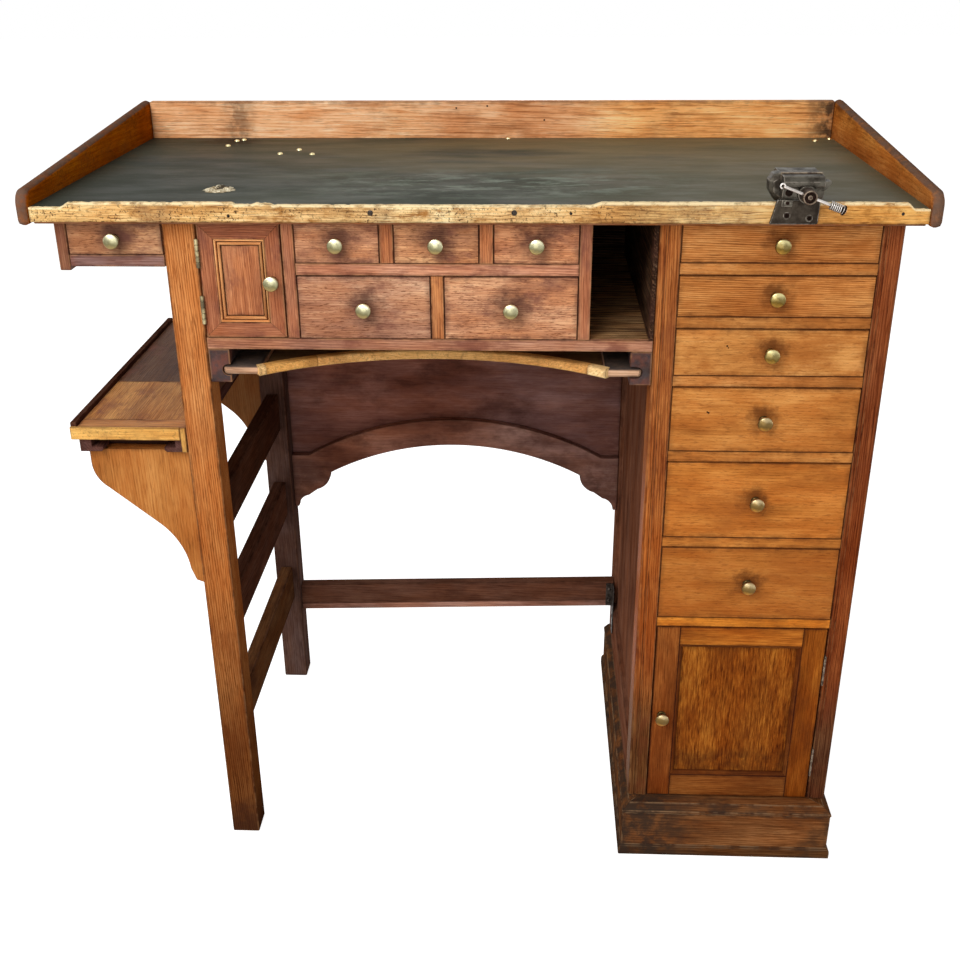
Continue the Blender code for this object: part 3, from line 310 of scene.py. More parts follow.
def linoleum(name):
    """Dark grey-green linoleum, scuffed, with a painted paler sheen in the middle and brown stains towards
    the back.
    """
    n = Nodes(bpy.data.materials.new(name))
    spot = n.place()
    streaked = n.vector("MULTIPLY", spot, (0.35, 1, 1))
    x, y, _ = n.split(spot)
    colour = n.ramp(n.noise(streaked, 9, 5, 0.6), (0.30, (0.020, 0.024, 0.016)),
                    (0.5, (0.040, 0.046, 0.031)), (0.72, (0.072, 0.077, 0.052)))
    colour = n.mix(n.smooth(x, -0.16, -0.40, 0, 0.7), colour, (0.018, 0.021, 0.014))
    side = n.smooth(x, -0.48, 0.10, 0.15, 1.0)
    browned = n.times(n.smooth(y, -0.16, 0.16), n.smooth(n.noise(streaked, 14, 4), 0.26, 0.58))
    colour = n.mix(n.times(n.times(browned, side), 0.9), colour, (0.168, 0.124, 0.060))
    colour = n.mix(n.smooth(x, 0.0, 0.35, 0, 0.5), colour, (0.148, 0.124, 0.066))
    # Painted sheen: a paler, bluish patch in the middle of the top, where it would catch the light
    middle = n.times(n.smooth(n.away(x, 0.03), 0.36, 0.05), n.smooth(n.away(y, -0.10), 0.13, 0.02))
    painted_reflection = n.smooth(n.noise(n.vector("MULTIPLY", spot, (0.6, 1.5, 1)), 24, 6, 0.72), 0.46, 0.64)
    colour = n.mix(n.times(n.times(middle, painted_reflection), 0.9), colour, (0.175, 0.205, 0.155))
    from_tacks = n.vector("MULTIPLY", n.vector("SUBTRACT", spot, (-0.395, 0.235, 0)), (13, 20, 0))
    uneven = n.smooth(n.noise(spot, 70, 4, 0.65), 0.36, 0.52, 0.4, 0.95)
    blot = n.times(n.smooth(n.vector("LENGTH", from_tacks), 1.0, 0.2), uneven)
    colour = n.mix(blot, colour, (0.012, 0.009, 0.006))
    scratches = n.smooth(n.noise(n.vector("MULTIPLY", spot, (0.05, 1, 1)), 420, 2, 0.6), 0.66, 0.76)
    colour = n.mix(n.times(scratches, 0.3), colour, (0.14, 0.13, 0.10))
    flecks = n.smooth(n.noise(spot, 330, 2, 0.5), 0.66, 0.74)
    colour = n.mix(n.times(flecks, 0.35), colour, (0.17, 0.15, 0.10))
    height = n.scaled_plus(scratches, -0.5, n.noise(spot, 160, 4, 0.6))
    rough = n.smooth(n.noise(streaked, 26, 4, 0.6), 0.3, 0.7, 0.38, 0.56)
    return n.finish(colour, rough, n.bump(height, 0.18, 0.001), specular=0.05)


# Heights of the painted reflection bands on a knob, from its bottom to its top
REFLECTION_BAND_LEVELS = (0.06, 0.34, 0.62, 0.88)


def metal(name, colour, dull, rough, dull_amount=0.6, edge_colour=None, reflection_bands=None, spread=45):
    """A metal with dull patches, small dents and, where an edge colour is given, rubbed arrises. Where
    reflection bands are given, it paints its reflection: bright towards the top, dark below and warm at the
    bottom.
    """
    n = Nodes(bpy.data.materials.new(name))
    moved = n.vector("ADD", n.place(), n.attribute("shift"))
    patches = n.smooth(n.noise(moved, spread, 4, 0.65), 0.38, 0.66, 0, dull_amount)
    spots = n.smooth(n.noise(moved, 9 * spread, 3, 0.6), 0.60, 0.72, 0, dull_amount)
    tarnish = n.math("MAXIMUM", patches, spots)
    shade = n.mix(tarnish, colour, dull)
    # Painted reflection: bright at the top, dark below and warm at the bottom, as if from sky, room and
    # wood
    if reflection_bands:
        x, y, z = n.split(n.vector("DIVIDE", n.attribute("place"), n.attribute("half")))
        painted_light_level = n.scaled_plus(n.noise(moved, 200, 3, 0.6), 0.8, n.scaled_plus(x, 0.2, z))
        painted_reflection = n.ramp(n.scaled_plus(painted_light_level, 0.5, 0.3), *zip(REFLECTION_BAND_LEVELS, reflection_bands))
        shade = n.mix(n.times(tarnish, 0.5), painted_reflection, dull)
        shade = n.mix(n.smooth(y, -0.30, 0.05), shade, dull)
    if edge_colour:
        rub = n.smooth(n.noise(moved, 150, 3, 0.6), 0.35, 0.60, 0, 0.85)
        shade = n.mix(n.times(n.smooth(arris_distance(n), 0.0014, 0.0003), rub), shade, edge_colour)
    height = n.scaled_plus(n.noise(moved, 260, 3, 0.6), 0.6, n.noise(moved, 1400, 2, 0.5))
    roughness = n.scaled_plus(tarnish, 0.25, rough)
    return n.finish(shade, roughness, n.bump(height, 0.16, 0.0006), 0.5, metallic=1.0)


def torn_edge(name):
    """The pale torn fibres and dark middle of the worn place in the linoleum."""
    n = Nodes(bpy.data.materials.new(name))
    spot = n.place()
    across = n.vector("DIVIDE", n.attribute("place"), n.attribute("half"))
    radius = n.vector("LENGTH", n.vector("MULTIPLY", across, (1, 1, 0)))
    ragged = n.noise(spot, 190, 4, 0.65)
    wobble = n.math("SUBTRACT", ragged, 0.5)
    pit = n.vector("MULTIPLY", n.vector("SUBTRACT", across, (0.1, 0.25, 0)), (1.3, 2.0, 0))
    inner = n.scaled_plus(wobble, 1.6, n.vector("LENGTH", pit))
    fibres = n.smooth(n.noise(spot, 420, 3, 0.6), 0.40, 0.62)
    pale = n.mix(fibres, (0.40, 0.29, 0.15), (0.92, 0.84, 0.62))
    pale = n.mix(n.smooth(n.noise(spot, 110, 3, 0.6), 0.52, 0.66, 0, 0.8), pale, (0.22, 0.145, 0.065))
    colour = n.mix(n.smooth(inner, 0.30, 0.55), (0.050, 0.034, 0.018), pale)
    colour = n.mix(n.smooth(n.plus(radius, wobble), 0.88, 1.0), colour, (0.05, 0.048, 0.034))
    return n.finish(colour, 0.75, n.bump(ragged, 0.5, 0.002), specular=0.15)


# Looks of the woods, the linoleum and the metals

looks = {
    # Legs: lighter near the top, and painted shade darker towards the middle and the floor, for the fall of
    # light
    "oak": wood(
        "leg_oak", (0.17, 0.042, 0.008), (0.56, 0.175, 0.038), (0.84, 0.34, 0.09), rings=560, wave=2,
        ring_depth=0.42, streak=0.75, pores=0.7, cloud=0.7, stain=(0.26, 0.062, 0.014), stain_scale=10,
        grime=0.75, grime_width=0.006, wear=(0.46, 0.22, 0.09), wear_amount=0.35, foot=0.95, line=0.5,
        washes_and_painted_light=(("z", 0.90, 0.36, (1.06, 1.11, 1.22)), ("z", 0.50, 0.20, (0.94, 0.89, 0.84))), rough=0.42,
        specular=0),
    "honey_oak": wood(
        "bracket_oak", (0.22, 0.065, 0.012), (0.56, 0.195, 0.046), (0.84, 0.37, 0.11), rings=430, wave=3,
        ring_depth=0.16, fibre=0.5, pores=0.4, stain=(0.34, 0.095, 0.020), stain_amount=0.6, stain_scale=9,
        grime_width=0.006, line=0.5, rough=0.42),
    "case": wood(
        "case_wood", (0.12, 0.034, 0.016), (0.42, 0.148, 0.062), (0.78, 0.34, 0.145), rings=650,
        ring_depth=0.22, streak=0.85, fibre=0.65, cloud=1.0, stain=(0.19, 0.062, 0.040), stain_amount=0.75,
        stain_scale=28, grime_width=0.005, grime_colour=(0.06, 0.02, 0.014), seam_and_gap_shadow=0.8,
        wear=(0.62, 0.30, 0.13), wear_amount=0.35, line=0.5),
    "bead": wood(
        "bead_wood", (0.30, 0.10, 0.035), (0.74, 0.31, 0.105), (0.98, 0.55, 0.23), rings=650, wave=6,
        ring_depth=0.2, streak=0.8, pores=0.3, cloud=1.0, stain=(0.30, 0.11, 0.05), stain_amount=0.6,
        stain_scale=28, grime=0, seam_and_gap_shadow=0),
    "case_drawer": wood(
        "case_drawer_wood", (0.13, 0.044, 0.024), (0.53, 0.220, 0.097), (0.98, 0.54, 0.25), rings=728,
        ring_depth=0.16, fibre=0.8, pores=0.8, stain=(0.20, 0.074, 0.050), stain_amount=0.85,
        stain_scale=31, grime=0.7, grime_width=0.009, grime_colour=(0.075, 0.030, 0.024), seam_and_gap_shadow=0.8,
        halo=0.8, halo_reach=0.036, length=0.4, tick=0.16, line=0.5),
    "drawer": wood(
        "pedestal_drawer_wood", (0.20, 0.050, 0.006), (0.57, 0.200, 0.036), (0.86, 0.38, 0.09), rings=700,
        wave=2, ring_depth=0.50, streak=0.45, pores=0.6, stain=(0.34, 0.100, 0.018), stain_amount=0.6,
        stain_scale=22, grime_width=0.009, grime_colour=(0.12, 0.034, 0.008), seam_and_gap_shadow=0.8, halo=0.75, line=0.5,
        rough=0.40),
    "honey": wood(
        "honey_drawer_wood", (0.24, 0.064, 0.008), (0.57, 0.200, 0.036), (0.84, 0.37, 0.09), wave=3,
        ring_depth=0.12, streak=0.38, fibre=0.5, cloud=1.5, stain=(0.36, 0.105, 0.018), stain_amount=0.65,
        stain_scale=22, grime_width=0.009, grime_colour=(0.12, 0.034, 0.008), seam_and_gap_shadow=0.8, halo=0.8, tick=0.12,
        line=0.6, rough=0.38),
    # Pedestal stiles: painted shade darker towards the floor and painted light near the top
    "stile": wood(
        "stile_wood", (0.09, 0.018, 0.006), (0.31, 0.085, 0.026), (0.60, 0.21, 0.065), rings=520, wave=5,
        ring_depth=0.36, streak=0.9, fibre=0.7, pores=0.6, cloud=1.1, stain=(0.15, 0.032, 0.014),
        stain_scale=15, grime=0.5, grime_width=0.004, wear=(0.55, 0.26, 0.10), wear_amount=0.22,
        wear_width=0.0025, line=0.45,
        washes_and_painted_light=(("z", 0.05, 0.30, (0.44, 0.68, 1.1)), ("z", 0.80, 0.32, (1.06, 1.26, 1.6))), specular=0.01),
    "dark": wood(
        "dark_oak", (0.026, 0.009, 0.005), (0.088, 0.035, 0.022), (0.18, 0.078, 0.048), ring_depth=0.14,
        streak=0.5, fibre=0.45, pores=0.4, cloud=1.2, stain=(0.045, 0.017, 0.012), stain_scale=12,
        grime=0.5, wear=(0.20, 0.095, 0.055), wear_amount=0.4, line=0.5, specular=0),
    # Kneehole boards: darker in a band round a height of 0.395
    "dim": wood(
        "kneehole_wood", (0.030, 0.011, 0.008), (0.089, 0.039, 0.028), (0.16, 0.078, 0.056), rings=300,
        wave=6, ring_depth=0.08, streak=0.22, fibre=0.25, pores=0.25, cloud=1.7,
        stain=(0.045, 0.017, 0.013), stain_amount=0.6, stain_scale=16, grime=0.5, grime_width=0.006,
        grime_colour=(0.022, 0.009, 0.007), wear=(0.20, 0.095, 0.055), wear_amount=0.3, line=0.5,
        dark_bands=(("z", 0.395, 0.055, 0.45),), washes_and_painted_light=(("x", -0.16, 0.22, (0.95, 0.76, 0.63)),), specular=0),
    # Tray battens: faces that look up are painted near black, painted shade under the case floor
    "batten": wood(
        "batten_oak", (0.18, 0.090, 0.046), (0.60, 0.345, 0.205), (0.95, 0.62, 0.40), ring_depth=0.14,
        fibre=0.5, cloud=1.2, stain=(0.30, 0.17, 0.11), stain_amount=0.4, grime=0.5, grime_width=0.005,
        weathering_and_shade=((0.030, 0.027, 0.027), 0.95, 0), weather_least=0.93, specular=0.02),
    "gallery": wood(
        "gallery_pine", (0.30, 0.098, 0.026), (0.81, 0.370, 0.138), (1.0, 0.67, 0.35), rings=300,
        ring_depth=0.24, streak=1.0, stain=(0.38, 0.135, 0.045), stain_scale=15, grime=0.5,
        grime_colour=(0.14, 0.055, 0.022), seam_and_gap_shadow=0.4, wear=(0.34, 0.16, 0.075), wear_amount=0.7,
        wear_width=0.004, line=0.5, dark_bands=(("x", 0.532, 0.062, 0.95), ("x", -0.390, 0.035, 0.55)),
        dark_band_colour=(0.050, 0.028, 0.017),
        washes_and_painted_light=(("x", 0.34, 0.26, (1.10, 1.14, 1.02)), ("x", 0.04, 0.20, (0.92, 0.93, 1.10)),
                ("x", -0.33, 0.30, (1.04, 1.12, 1.38))),
        drift=0.75),
    "gallery_end": wood(
        "gallery_end_pine", (0.20, 0.050, 0.008), (0.50, 0.165, 0.036), (0.78, 0.33, 0.09), rings=300,
        ring_depth=0.12, streak=0.5, fibre=0.5, pores=0.4, cloud=1.2, stain=(0.24, 0.070, 0.016),
        stain_amount=0.6, stain_scale=13, grime=0.85, grime_width=0.030, grime_colour=(0.070, 0.024, 0.008),
        seam_and_gap_shadow=0.2, specks=0.4, weathering_and_shade=((0.150, 0.092, 0.066), 0.95, 0.9),
        washes_and_painted_light=(("z", 1.03, 0.075, (1.35, 1.42, 1.1)),), specular=0),
    "lip": wood(
        "lip_pine", (0.25, 0.104, 0.024), (0.75, 0.420, 0.142), (1.0, 0.78, 0.38), rings=416, wave=9,
        ring_depth=0.18, streak=0.9, fibre=0.8, pores=0.9, cloud=1.5, stain=(0.36, 0.140, 0.026),
        stain_amount=0.9, stain_scale=58, grime=0.8, grime_width=0.004, grime_colour=(0.075, 0.034, 0.014),
        seam_and_gap_shadow=0.3, specks=0.95, length=0.4, crest=(1.0, 0.80, 0.46),
        dark_bands=(("x", 0.26, 0.12, 0.42), ("x", -0.38, 0.035, 0.5), ("x", -0.105, 0.02, 0.35)),
        dark_band_colour=(0.17, 0.075, 0.040),
        washes_and_painted_light=(("x", -0.07, 0.26, (1.12, 1.32, 1.70)), ("x", 0.56, 0.26, (0.93, 0.70, 0.44))),
        speck_end=0.36, rough=0.5),
    "pale": wood(
        "pale_wood", (0.34, 0.16, 0.045), (0.70, 0.40, 0.130), (0.98, 0.66, 0.28), rings=416, wave=5,
        ring_depth=0.15, streak=0.7, pores=0.4, cloud=1.0, stain=(0.40, 0.19, 0.055), stain_amount=0.6,
        stain_scale=38, grime_width=0.003, grime_colour=(0.10, 0.05, 0.025), seam_and_gap_shadow=0.35, specks=0.35,
        rough=0.5),
    "bare": wood(
        "bare_wood", (0.26, 0.125, 0.05), (0.46, 0.26, 0.115), (0.64, 0.40, 0.20), rings=520, wave=7,
        streak=0.7, pores=0.3, cloud=0.8, stain=(0.25, 0.13, 0.06), stain_amount=0.35, grime=0.5,
        grime_colour=(0.14, 0.07, 0.035), seam_and_gap_shadow=0.3, rough=0.6),
    "inside": wood(
        "shaded_wood", (0.004, 0.002, 0.001), (0.026, 0.013, 0.007), (0.15, 0.080, 0.042), rings=416,
        wave=5, streak=2.4, fibre=0.8, cloud=0.8, stain_amount=0.4, grime=0.4, seam_and_gap_shadow=0.3, rough=0.6,
        specular=0.02),
    # Pedestal door: painted light, lighter towards its top
    "door": wood(
        "door_oak", (0.075, 0.015, 0.002), (0.235, 0.058, 0.009), (0.50, 0.160, 0.028), rings=600,
        ring_depth=0.14, streak=0.5, cloud=1.5, stain=(0.11, 0.026, 0.006), stain_scale=12,
        grime_width=0.005, grime_colour=(0.035, 0.010, 0.004), seam_and_gap_shadow=0.8, line=0.5,
        washes_and_painted_light=(("z", 0.40, 0.16, (1.25, 1.35, 1.4)),), rough=0.42, specular=0.02),
    "panel": wood(
        "door_panel_oak", (0.095, 0.018, 0.002), (0.270, 0.068, 0.007), (0.50, 0.165, 0.020), rings=312,
        wave=8, ring_depth=0.15, streak=2.2, fibre=1.3, pores=0.8, cloud=1.5, stain=(0.13, 0.030, 0.005),
        stain_scale=17, grime=0.85, grime_width=0.018, grime_colour=(0.05, 0.013, 0.004), length=0.3,
        dark_bands=(("z", 0.150, 0.030, 0.6),), rough=0.42, specular=0.02),
    "plinth": wood(
        "plinth_wood", (0.045, 0.014, 0.004), (0.160, 0.056, 0.017), (0.33, 0.135, 0.045), rings=442,
        wave=6, ring_depth=0.22, streak=0.9, fibre=0.8, pores=0.6, cloud=1.1, stain=(0.050, 0.026, 0.015),
        stain_amount=0.7, stain_scale=19, grime=0.8, grime_width=0.008, grime_colour=(0.034, 0.024, 0.018),
        wear=(0.30, 0.17, 0.085), wear_amount=0.75, wear_width=0.0022, dark_bands=(("x", 0.225, 0.13, 0.85),),
        specular=0),
    "linoleum": linoleum("grey_green_linoleum"),
    "torn": torn_edge("torn_linoleum"),
    # Knobs: their bands paint the reflection, from a warm bottom to a bright top
    "pale_brass": metal(
        "pale_brass", (0.40, 0.38, 0.24), (0.15, 0.13, 0.06), 0.24, dull_amount=0.5,
        reflection_bands=((0.33, 0.23, 0.085), (0.165, 0.145, 0.070), (0.36, 0.34, 0.205), (0.84, 0.80, 0.54))),
    "brass": metal(
        "satin_brass", (0.30, 0.24, 0.09), (0.085, 0.058, 0.016), 0.24, dull_amount=0.5,
        reflection_bands=((0.34, 0.18, 0.032), (0.115, 0.070, 0.013), (0.23, 0.175, 0.065), (0.66, 0.58, 0.28))),
    "old_brass": metal(
        "old_brass", (0.22, 0.15, 0.055), (0.060, 0.038, 0.013), 0.28, dull_amount=0.55,
        reflection_bands=((0.40, 0.185, 0.034), (0.125, 0.072, 0.020), (0.17, 0.108, 0.037), (0.48, 0.37, 0.20))),
    "tack": metal("tack_brass", (0.90, 0.78, 0.44), (0.36, 0.27, 0.11), 0.24, dull_amount=0.5),
    "hinge": metal("aged_brass", (0.42, 0.35, 0.19), (0.06, 0.045, 0.030), 0.35, dull_amount=0.85),
    "steel": metal("bright_steel", (0.70, 0.66, 0.62), (0.22, 0.18, 0.15), 0.25, dull_amount=0.6),
    "iron": metal(
        "dark_iron", (0.098, 0.088, 0.070), (0.022, 0.016, 0.012), 0.45, dull_amount=0.85,
        edge_colour=(0.23, 0.20, 0.165)),
    "plate": metal(
        "plate_iron", (0.050, 0.040, 0.030), (0.018, 0.013, 0.010), 0.42, dull_amount=0.85,
        edge_colour=(0.30, 0.28, 0.25)),
    "rust": metal(
        "browned_iron", (0.105, 0.072, 0.056), (0.034, 0.023, 0.017), 0.42, dull_amount=0.8,
        edge_colour=(0.34, 0.27, 0.19)),
    "nail": metal(
        "nail_iron", (0.060, 0.048, 0.040), (0.016, 0.012, 0.010), 0.45, dull_amount=0.9, spread=160),
    # Near black: painted shadow in holes, pits, recesses and grooves, and small dark marks
    "hole": wood(
        "deep_hole", (0.004, 0.003, 0.002), (0.008, 0.006, 0.004), (0.014, 0.010, 0.007), rings=260,
        wave=5.0, streak=1.2, fibre=0.8, cloud=0.8, stain_amount=0.4, grime=0.3, rough=0.7, specular=0.02),
}


# Shapes

def soften(shape, edge, segments=2):
    """Rounds the edges where two faces meet at an angle."""
    if edge:
        sharp = [item for item in shape.edges if item.calc_face_angle(0) > SHARP_ANGLE]
        bmesh.ops.bevel(shape, geom=sharp, offset=edge, offset_type="OFFSET", segments=segments,
                        profile=0.5, affect="EDGES", clamp_overlap=True)


def box_shape(low, high, edge):
    shape = bmesh.new()
    bmesh.ops.create_cube(shape, size=1)
    for vertex in shape.verts:
        vertex.co = [low[i] if vertex.co[i] < 0 else high[i] for i in range(3)]
    soften(shape, edge)
    return shape


def loft(rings):
    """Joins rings of equal length by faces and caps the two ends."""
    shape = bmesh.new()
    made = [[shape.verts.new(point) for point in ring] for ring in rings]
    shape.faces.new(made[0])
    shape.faces.new(made[-1])
    count = len(rings[0])
    for first, second in zip(made, made[1:]):
        for index in range(count):
            after = (index + 1) % count
            shape.faces.new((first[index], first[after], second[after], second[index]))
    bmesh.ops.recalc_face_normals(shape, faces=shape.faces)
    return shape


def prism_shape(outline, axis, start, end, edge):
    """Extrudes an outline of pairs along an axis."""
    index = "xyz".index(axis)
    rings = []
    for along in (start, end):
        rings.append([(*pair[:index], along, *pair[index:]) for pair in outline])
    shape = loft(rings)
    soften(shape, edge)
    bmesh.ops.triangulate(shape, faces=[face for face in shape.faces if len(face.verts) > 4])
    return shape


def turned_shape(profile, centre, direction, sides):
    """Turns a profile of (radius, height) pairs about a direction. Its ends close on the axis."""
    shape = bmesh.new()
    rings = []
    for radius, height in profile:
        ring = []
        for index in range(sides if radius else 1):
            angle = 2 * math.pi * index / sides
            ring.append(shape.verts.new((radius * math.cos(angle), radius * math.sin(angle), height)))
        rings.append(ring)
    for first, second in zip(rings, rings[1:]):
        for index in range(sides):
            after = (index + 1) % sides
            corners = [first[index % len(first)], first[after % len(first)]]
            corners += [second[after % len(second)], second[index % len(second)]]
            shape.faces.new(tuple(dict.fromkeys(corners)))
    bmesh.ops.recalc_face_normals(shape, faces=shape.faces)
    turn = Vector(direction).to_track_quat("Z", "Y").to_matrix().to_4x4()
    bmesh.ops.transform(shape, matrix=Matrix.Translation(centre) @ turn, verts=shape.verts)
    return shape


def mitred_shape(side, low, high, profile, order, far=1.0, edge=FINE):
    """One side of a mitred frame. The profile's pairs are (inset from the outer edge, depth)."""
    rings = [[], []]
    for inset, depth in profile:
        near = (low[0] + inset, low[1] + inset)
        away = (high[0] - inset * (far if side in ("bottom", "top") else 1),
                high[1] - inset * (far if side in ("left", "right") else 1))
        ends = {"bottom": (near, (away[0], near[1])), "top": ((near[0], away[1]), away),
                "left": (near, (near[0], away[1])), "right": ((away[0], near[1]), away)}[side]
        for ring, (across, up) in zip(rings, ends):
            values = dict(zip(order, (across, up, depth)))
            ring.append((values["x"], values["y"], values["z"]))
    shape = loft(rings)
    soften(shape, edge)
    return shape


def arc(centre, radius, start, end, steps):
    """Points along an arc, with its angles in degrees. A pair of radii makes it elliptical."""
    across, up = radius if isinstance(radius, tuple) else (radius, radius)
    angles = [math.radians(start + (end - start) * step / steps) for step in range(steps + 1)]
    return [(centre[0] + across * math.cos(a), centre[1] + up * math.sin(a)) for a in angles]


def tube_shape(path, radius, sides=10):
    """A round bar along a path of points."""
    rings = []
    normal = None
    for index, point in enumerate(path):
        ahead = path[min(index + 1, len(path) - 1)] - path[max(index - 1, 0)]
        ahead.normalize()
        if normal is None:
            normal = ahead.orthogonal()
        normal = (normal - ahead * normal.dot(ahead)).normalized()
        side = ahead.cross(normal)
        ring = []
        for step in range(sides):
            angle = 2 * math.pi * step / sides
            ring.append(point + radius * (math.cos(angle) * normal + math.sin(angle) * side))
        rings.append(ring)
    return loft(rings)


SUNK = 0.001


def stud(radius, rise, shoulder, top, tip, sunk=SUNK):
    """Profile of a round head: straight up to its rise, in to a shoulder, then to its tip."""
    return [(0, -sunk), (radius, -sunk), (radius, rise), (shoulder, top), (0, tip)]


def dent(radius, mouth):
    """Profile of a flat disc, hardly proud of its board, for dark marks and for the painted shadow of
    holes.
    """
    return [(0, -SUNK), (radius, -SUNK), (mouth, 0.00012), (0, 0.00016)]


def rod(radius, length):
    return [(0, 0), (radius, 0), (radius, length), (0, length)]


class Piece:
    """A piece of the bench, made of boards or other solids that keep their own grain and place."""

    def __init__(self, name, *finishes):
        self.name = name
        self.finishes = finishes
        self.random = random.Random(zlib.crc32(name.encode()))
        self.points = []
        self.faces = []
        self.slots = []
        self.values = {key: [] for key in ("grain", "place", "half", "shift", "tint")}

    def put(self, shape, grain="x", tint=PLAIN, finish=0):
        shape.verts.index_update()
        points = [vertex.co.copy() for vertex in shape.verts]
        low = Vector([min(point[i] for point in points) for i in range(3)])
        high = Vector([max(point[i] for point in points) for i in range(3)])
        first = len(self.points)
        shift = Vector([self.random.uniform(-5, 5) for _ in range(3)])
        same = {"grain": AXES[grain], "half": (high - low) / 2, "shift": shift, "tint": tint}
        for key, value in same.items():
            self.values[key] += [tuple(value)] * len(points)
        self.values["place"] += [tuple(point - (low + high) / 2) for point in points]
        self.points += points
        self.faces += [[first + vertex.index for vertex in face.verts] for face in shape.faces]
        self.slots += [finish] * len(shape.faces)
        shape.free()

    def box(self, low, high, grain="x", edge=ARRIS, tint=PLAIN, finish=0):
        self.put(box_shape(low, high, edge), grain, tint, finish)

    def prism(self, outline, axis, start, end, grain="x", edge=ARRIS, tint=PLAIN, finish=0):
        self.put(prism_shape(outline, axis, start, end, edge), grain, tint, finish)

    def turn(self, profile, centre, direction=TOWARDS, sides=24, grain="x", tint=PLAIN, finish=0):
        self.put(turned_shape(profile, centre, direction, sides), grain, tint, finish)

    def done(self, body, *nodes, slot):
        mesh = bpy.data.meshes.new(self.name)
        mesh.from_pydata(self.points, [], self.faces)
        for look in self.finishes:
            mesh.materials.append(looks[look])
        mesh.polygons.foreach_set("material_index", self.slots)
        for key, values in self.values.items():
            layer = mesh.attributes.new(key, "FLOAT_VECTOR", "POINT")
            layer.data.foreach_set("vector", [number for value in values for number in value])
        mesh.shade_smooth()
        mesh.set_sharp_from_angle(angle=SMOOTH_ANGLE)
        made = bpy.data.objects.new(self.name, mesh)
        bpy.context.scene.collection.objects.link(made)
        even = made.modifiers.new("even_normals", "WEIGHTED_NORMAL")
        even.keep_sharp = True
        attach(made, body)
        if nodes:
            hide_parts(*nodes)


def make_board(name, node, finish, slot, grain="x", edge=ARRIS, tint=PLAIN, body="bench"):
    """A piece that is one board, as large as its node."""
    board = Piece(name, finish)
    board.box(*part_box(node), grain, edge, tint)
    board.done(body, node, slot=slot)


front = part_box("front_leg")[0].y
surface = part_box("linoleum")[1].z
NAIL_HEAD = stud(0.0021, 0.0001, 0.0015, 0.0004, 0.0005)


# Work top

GALLERY_HOLES = ((-0.0493, 1.0039), (-0.0014, 1.0068), (0.0868, 0.9859))
GALLERY_END_TINTS = {"left": (0.72, 0.48, 0.06), "right": (0.86, 0.82, 0.80)}
GALLERY_FRONT_RISE = 0.021
GALLERY_NOSE = 0.018


def make_top():
    make_board("work_top_board", "bench_top", "gallery", "golden_pine", tint=(0.62, 0.45, 0.40))

    low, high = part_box("back_gallery")
    back = Piece("gallery_back", "gallery", "hole")
    back.box(low, high, edge=0.0025, tint=(1.1, 1.06, 1.0))
    # Flat dark discs paint the shadow in the gallery's holes
    for x, z in GALLERY_HOLES:
        back.turn(dent(0.0016, 0.0014), (x, low.y, z), sides=12, finish=1)
    back.done("bench", "back_gallery", slot="golden_pine")

    for side, tint in GALLERY_END_TINTS.items():
        node = side + "_gallery_end"
        low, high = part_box(node)
        shoulder = (low.y + GALLERY_NOSE, surface + GALLERY_FRONT_RISE - GALLERY_NOSE)
        outline = [(high.y, low.z), (low.y, low.z)]
        outline += arc(shoulder, GALLERY_NOSE, 180, 98, 6) + [(high.y, high.z)]
        end = Piece("gallery_end_" + side, "gallery_end")
        end.prism(outline, "x", low.x, high.x, grain="y", edge=0.0060, tint=tint)
        end.done("bench", node, slot="golden_pine")

    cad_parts["linoleum"].data.materials.clear()
    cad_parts["linoleum"].data.materials.append(looks["linoleum"])


LIP_DROP = 0.0018
LIP_LEFT_END = (0.036, 0.049)
LIP_RIGHT_END = (0.026, 0.016)
LIP_BITTEN = (-0.288, -0.280, -0.240, -0.225)
LIP_CHIP = 0.0028
# Start, end and rise of each step along the lip's top
LIP_STEPS = ((-0.284, -0.280, -0.0022), (-0.262, -0.255, 0.0019), (-0.243, -0.233, -0.0023),
             (0.138, 0.152, 0.0038))
LIP_RINGS = 500
LIP_ROUND_LOW = 0.0008
LIP_ROUND_TOP = 0.0020
LIP_NAILS = ((-0.1204, 0.9537, 0.0034), (0.0489, 0.9541, 0.0034), (-0.2893, 0.9497, 0.0020),
             (0.4977, 0.9539, 0.0019), (0.115, 0.9535, 0.0018))
TACKS = ((-0.2985, 0.1207), (-0.2767, 0.1549), (-0.2507, 0.1166), (-0.3915, 0.1903), (-0.3883, 0.2366),
         (-0.3795, 0.2461), (0.4981, 0.2355), (0.0312, 0.2600), (0.5235, 0.2542))
TACK_DOME = ((0, -SUNK), (0.0042, -SUNK), (0.0042, 0.0002), (0.0036, 0.0014), (0.0020, 0.0024), (0, 0.0027))


def eased(x, start, end):
    """Goes smoothly from 0 to 1 as x goes from start to end."""
    share = min(max((x - start) / (end - start), 0), 1)
    return share * share * (3 - 2 * share)


def lip_top(x, low, high):
    """Height of the worn lip: low ends, a bitten stretch on the left and a lower, rubbed middle."""
    crown = high.z - LIP_DROP
    height = surface + (crown - surface) * eased(x, low.x + LIP_LEFT_END[0], low.x + LIP_LEFT_END[1])
    for start, end, rise in LIP_STEPS:
        height += rise * eased(x, start, end)
    height -= (height - surface) * eased(x, high.x - LIP_RIGHT_END[0], high.x - LIP_RIGHT_END[1])
    bitten = eased(x, *LIP_BITTEN[:2]) * (1 - eased(x, *LIP_BITTEN[2:]))
    chips = abs(noise.noise((x * 130, 3.1, 0)))
    wander = noise.noise((x * 28, 0, 7.7)) * 0.0005 + noise.noise((x * 240, 0, 1.3)) * 0.00025
    return height + wander - LIP_CHIP * bitten * chips


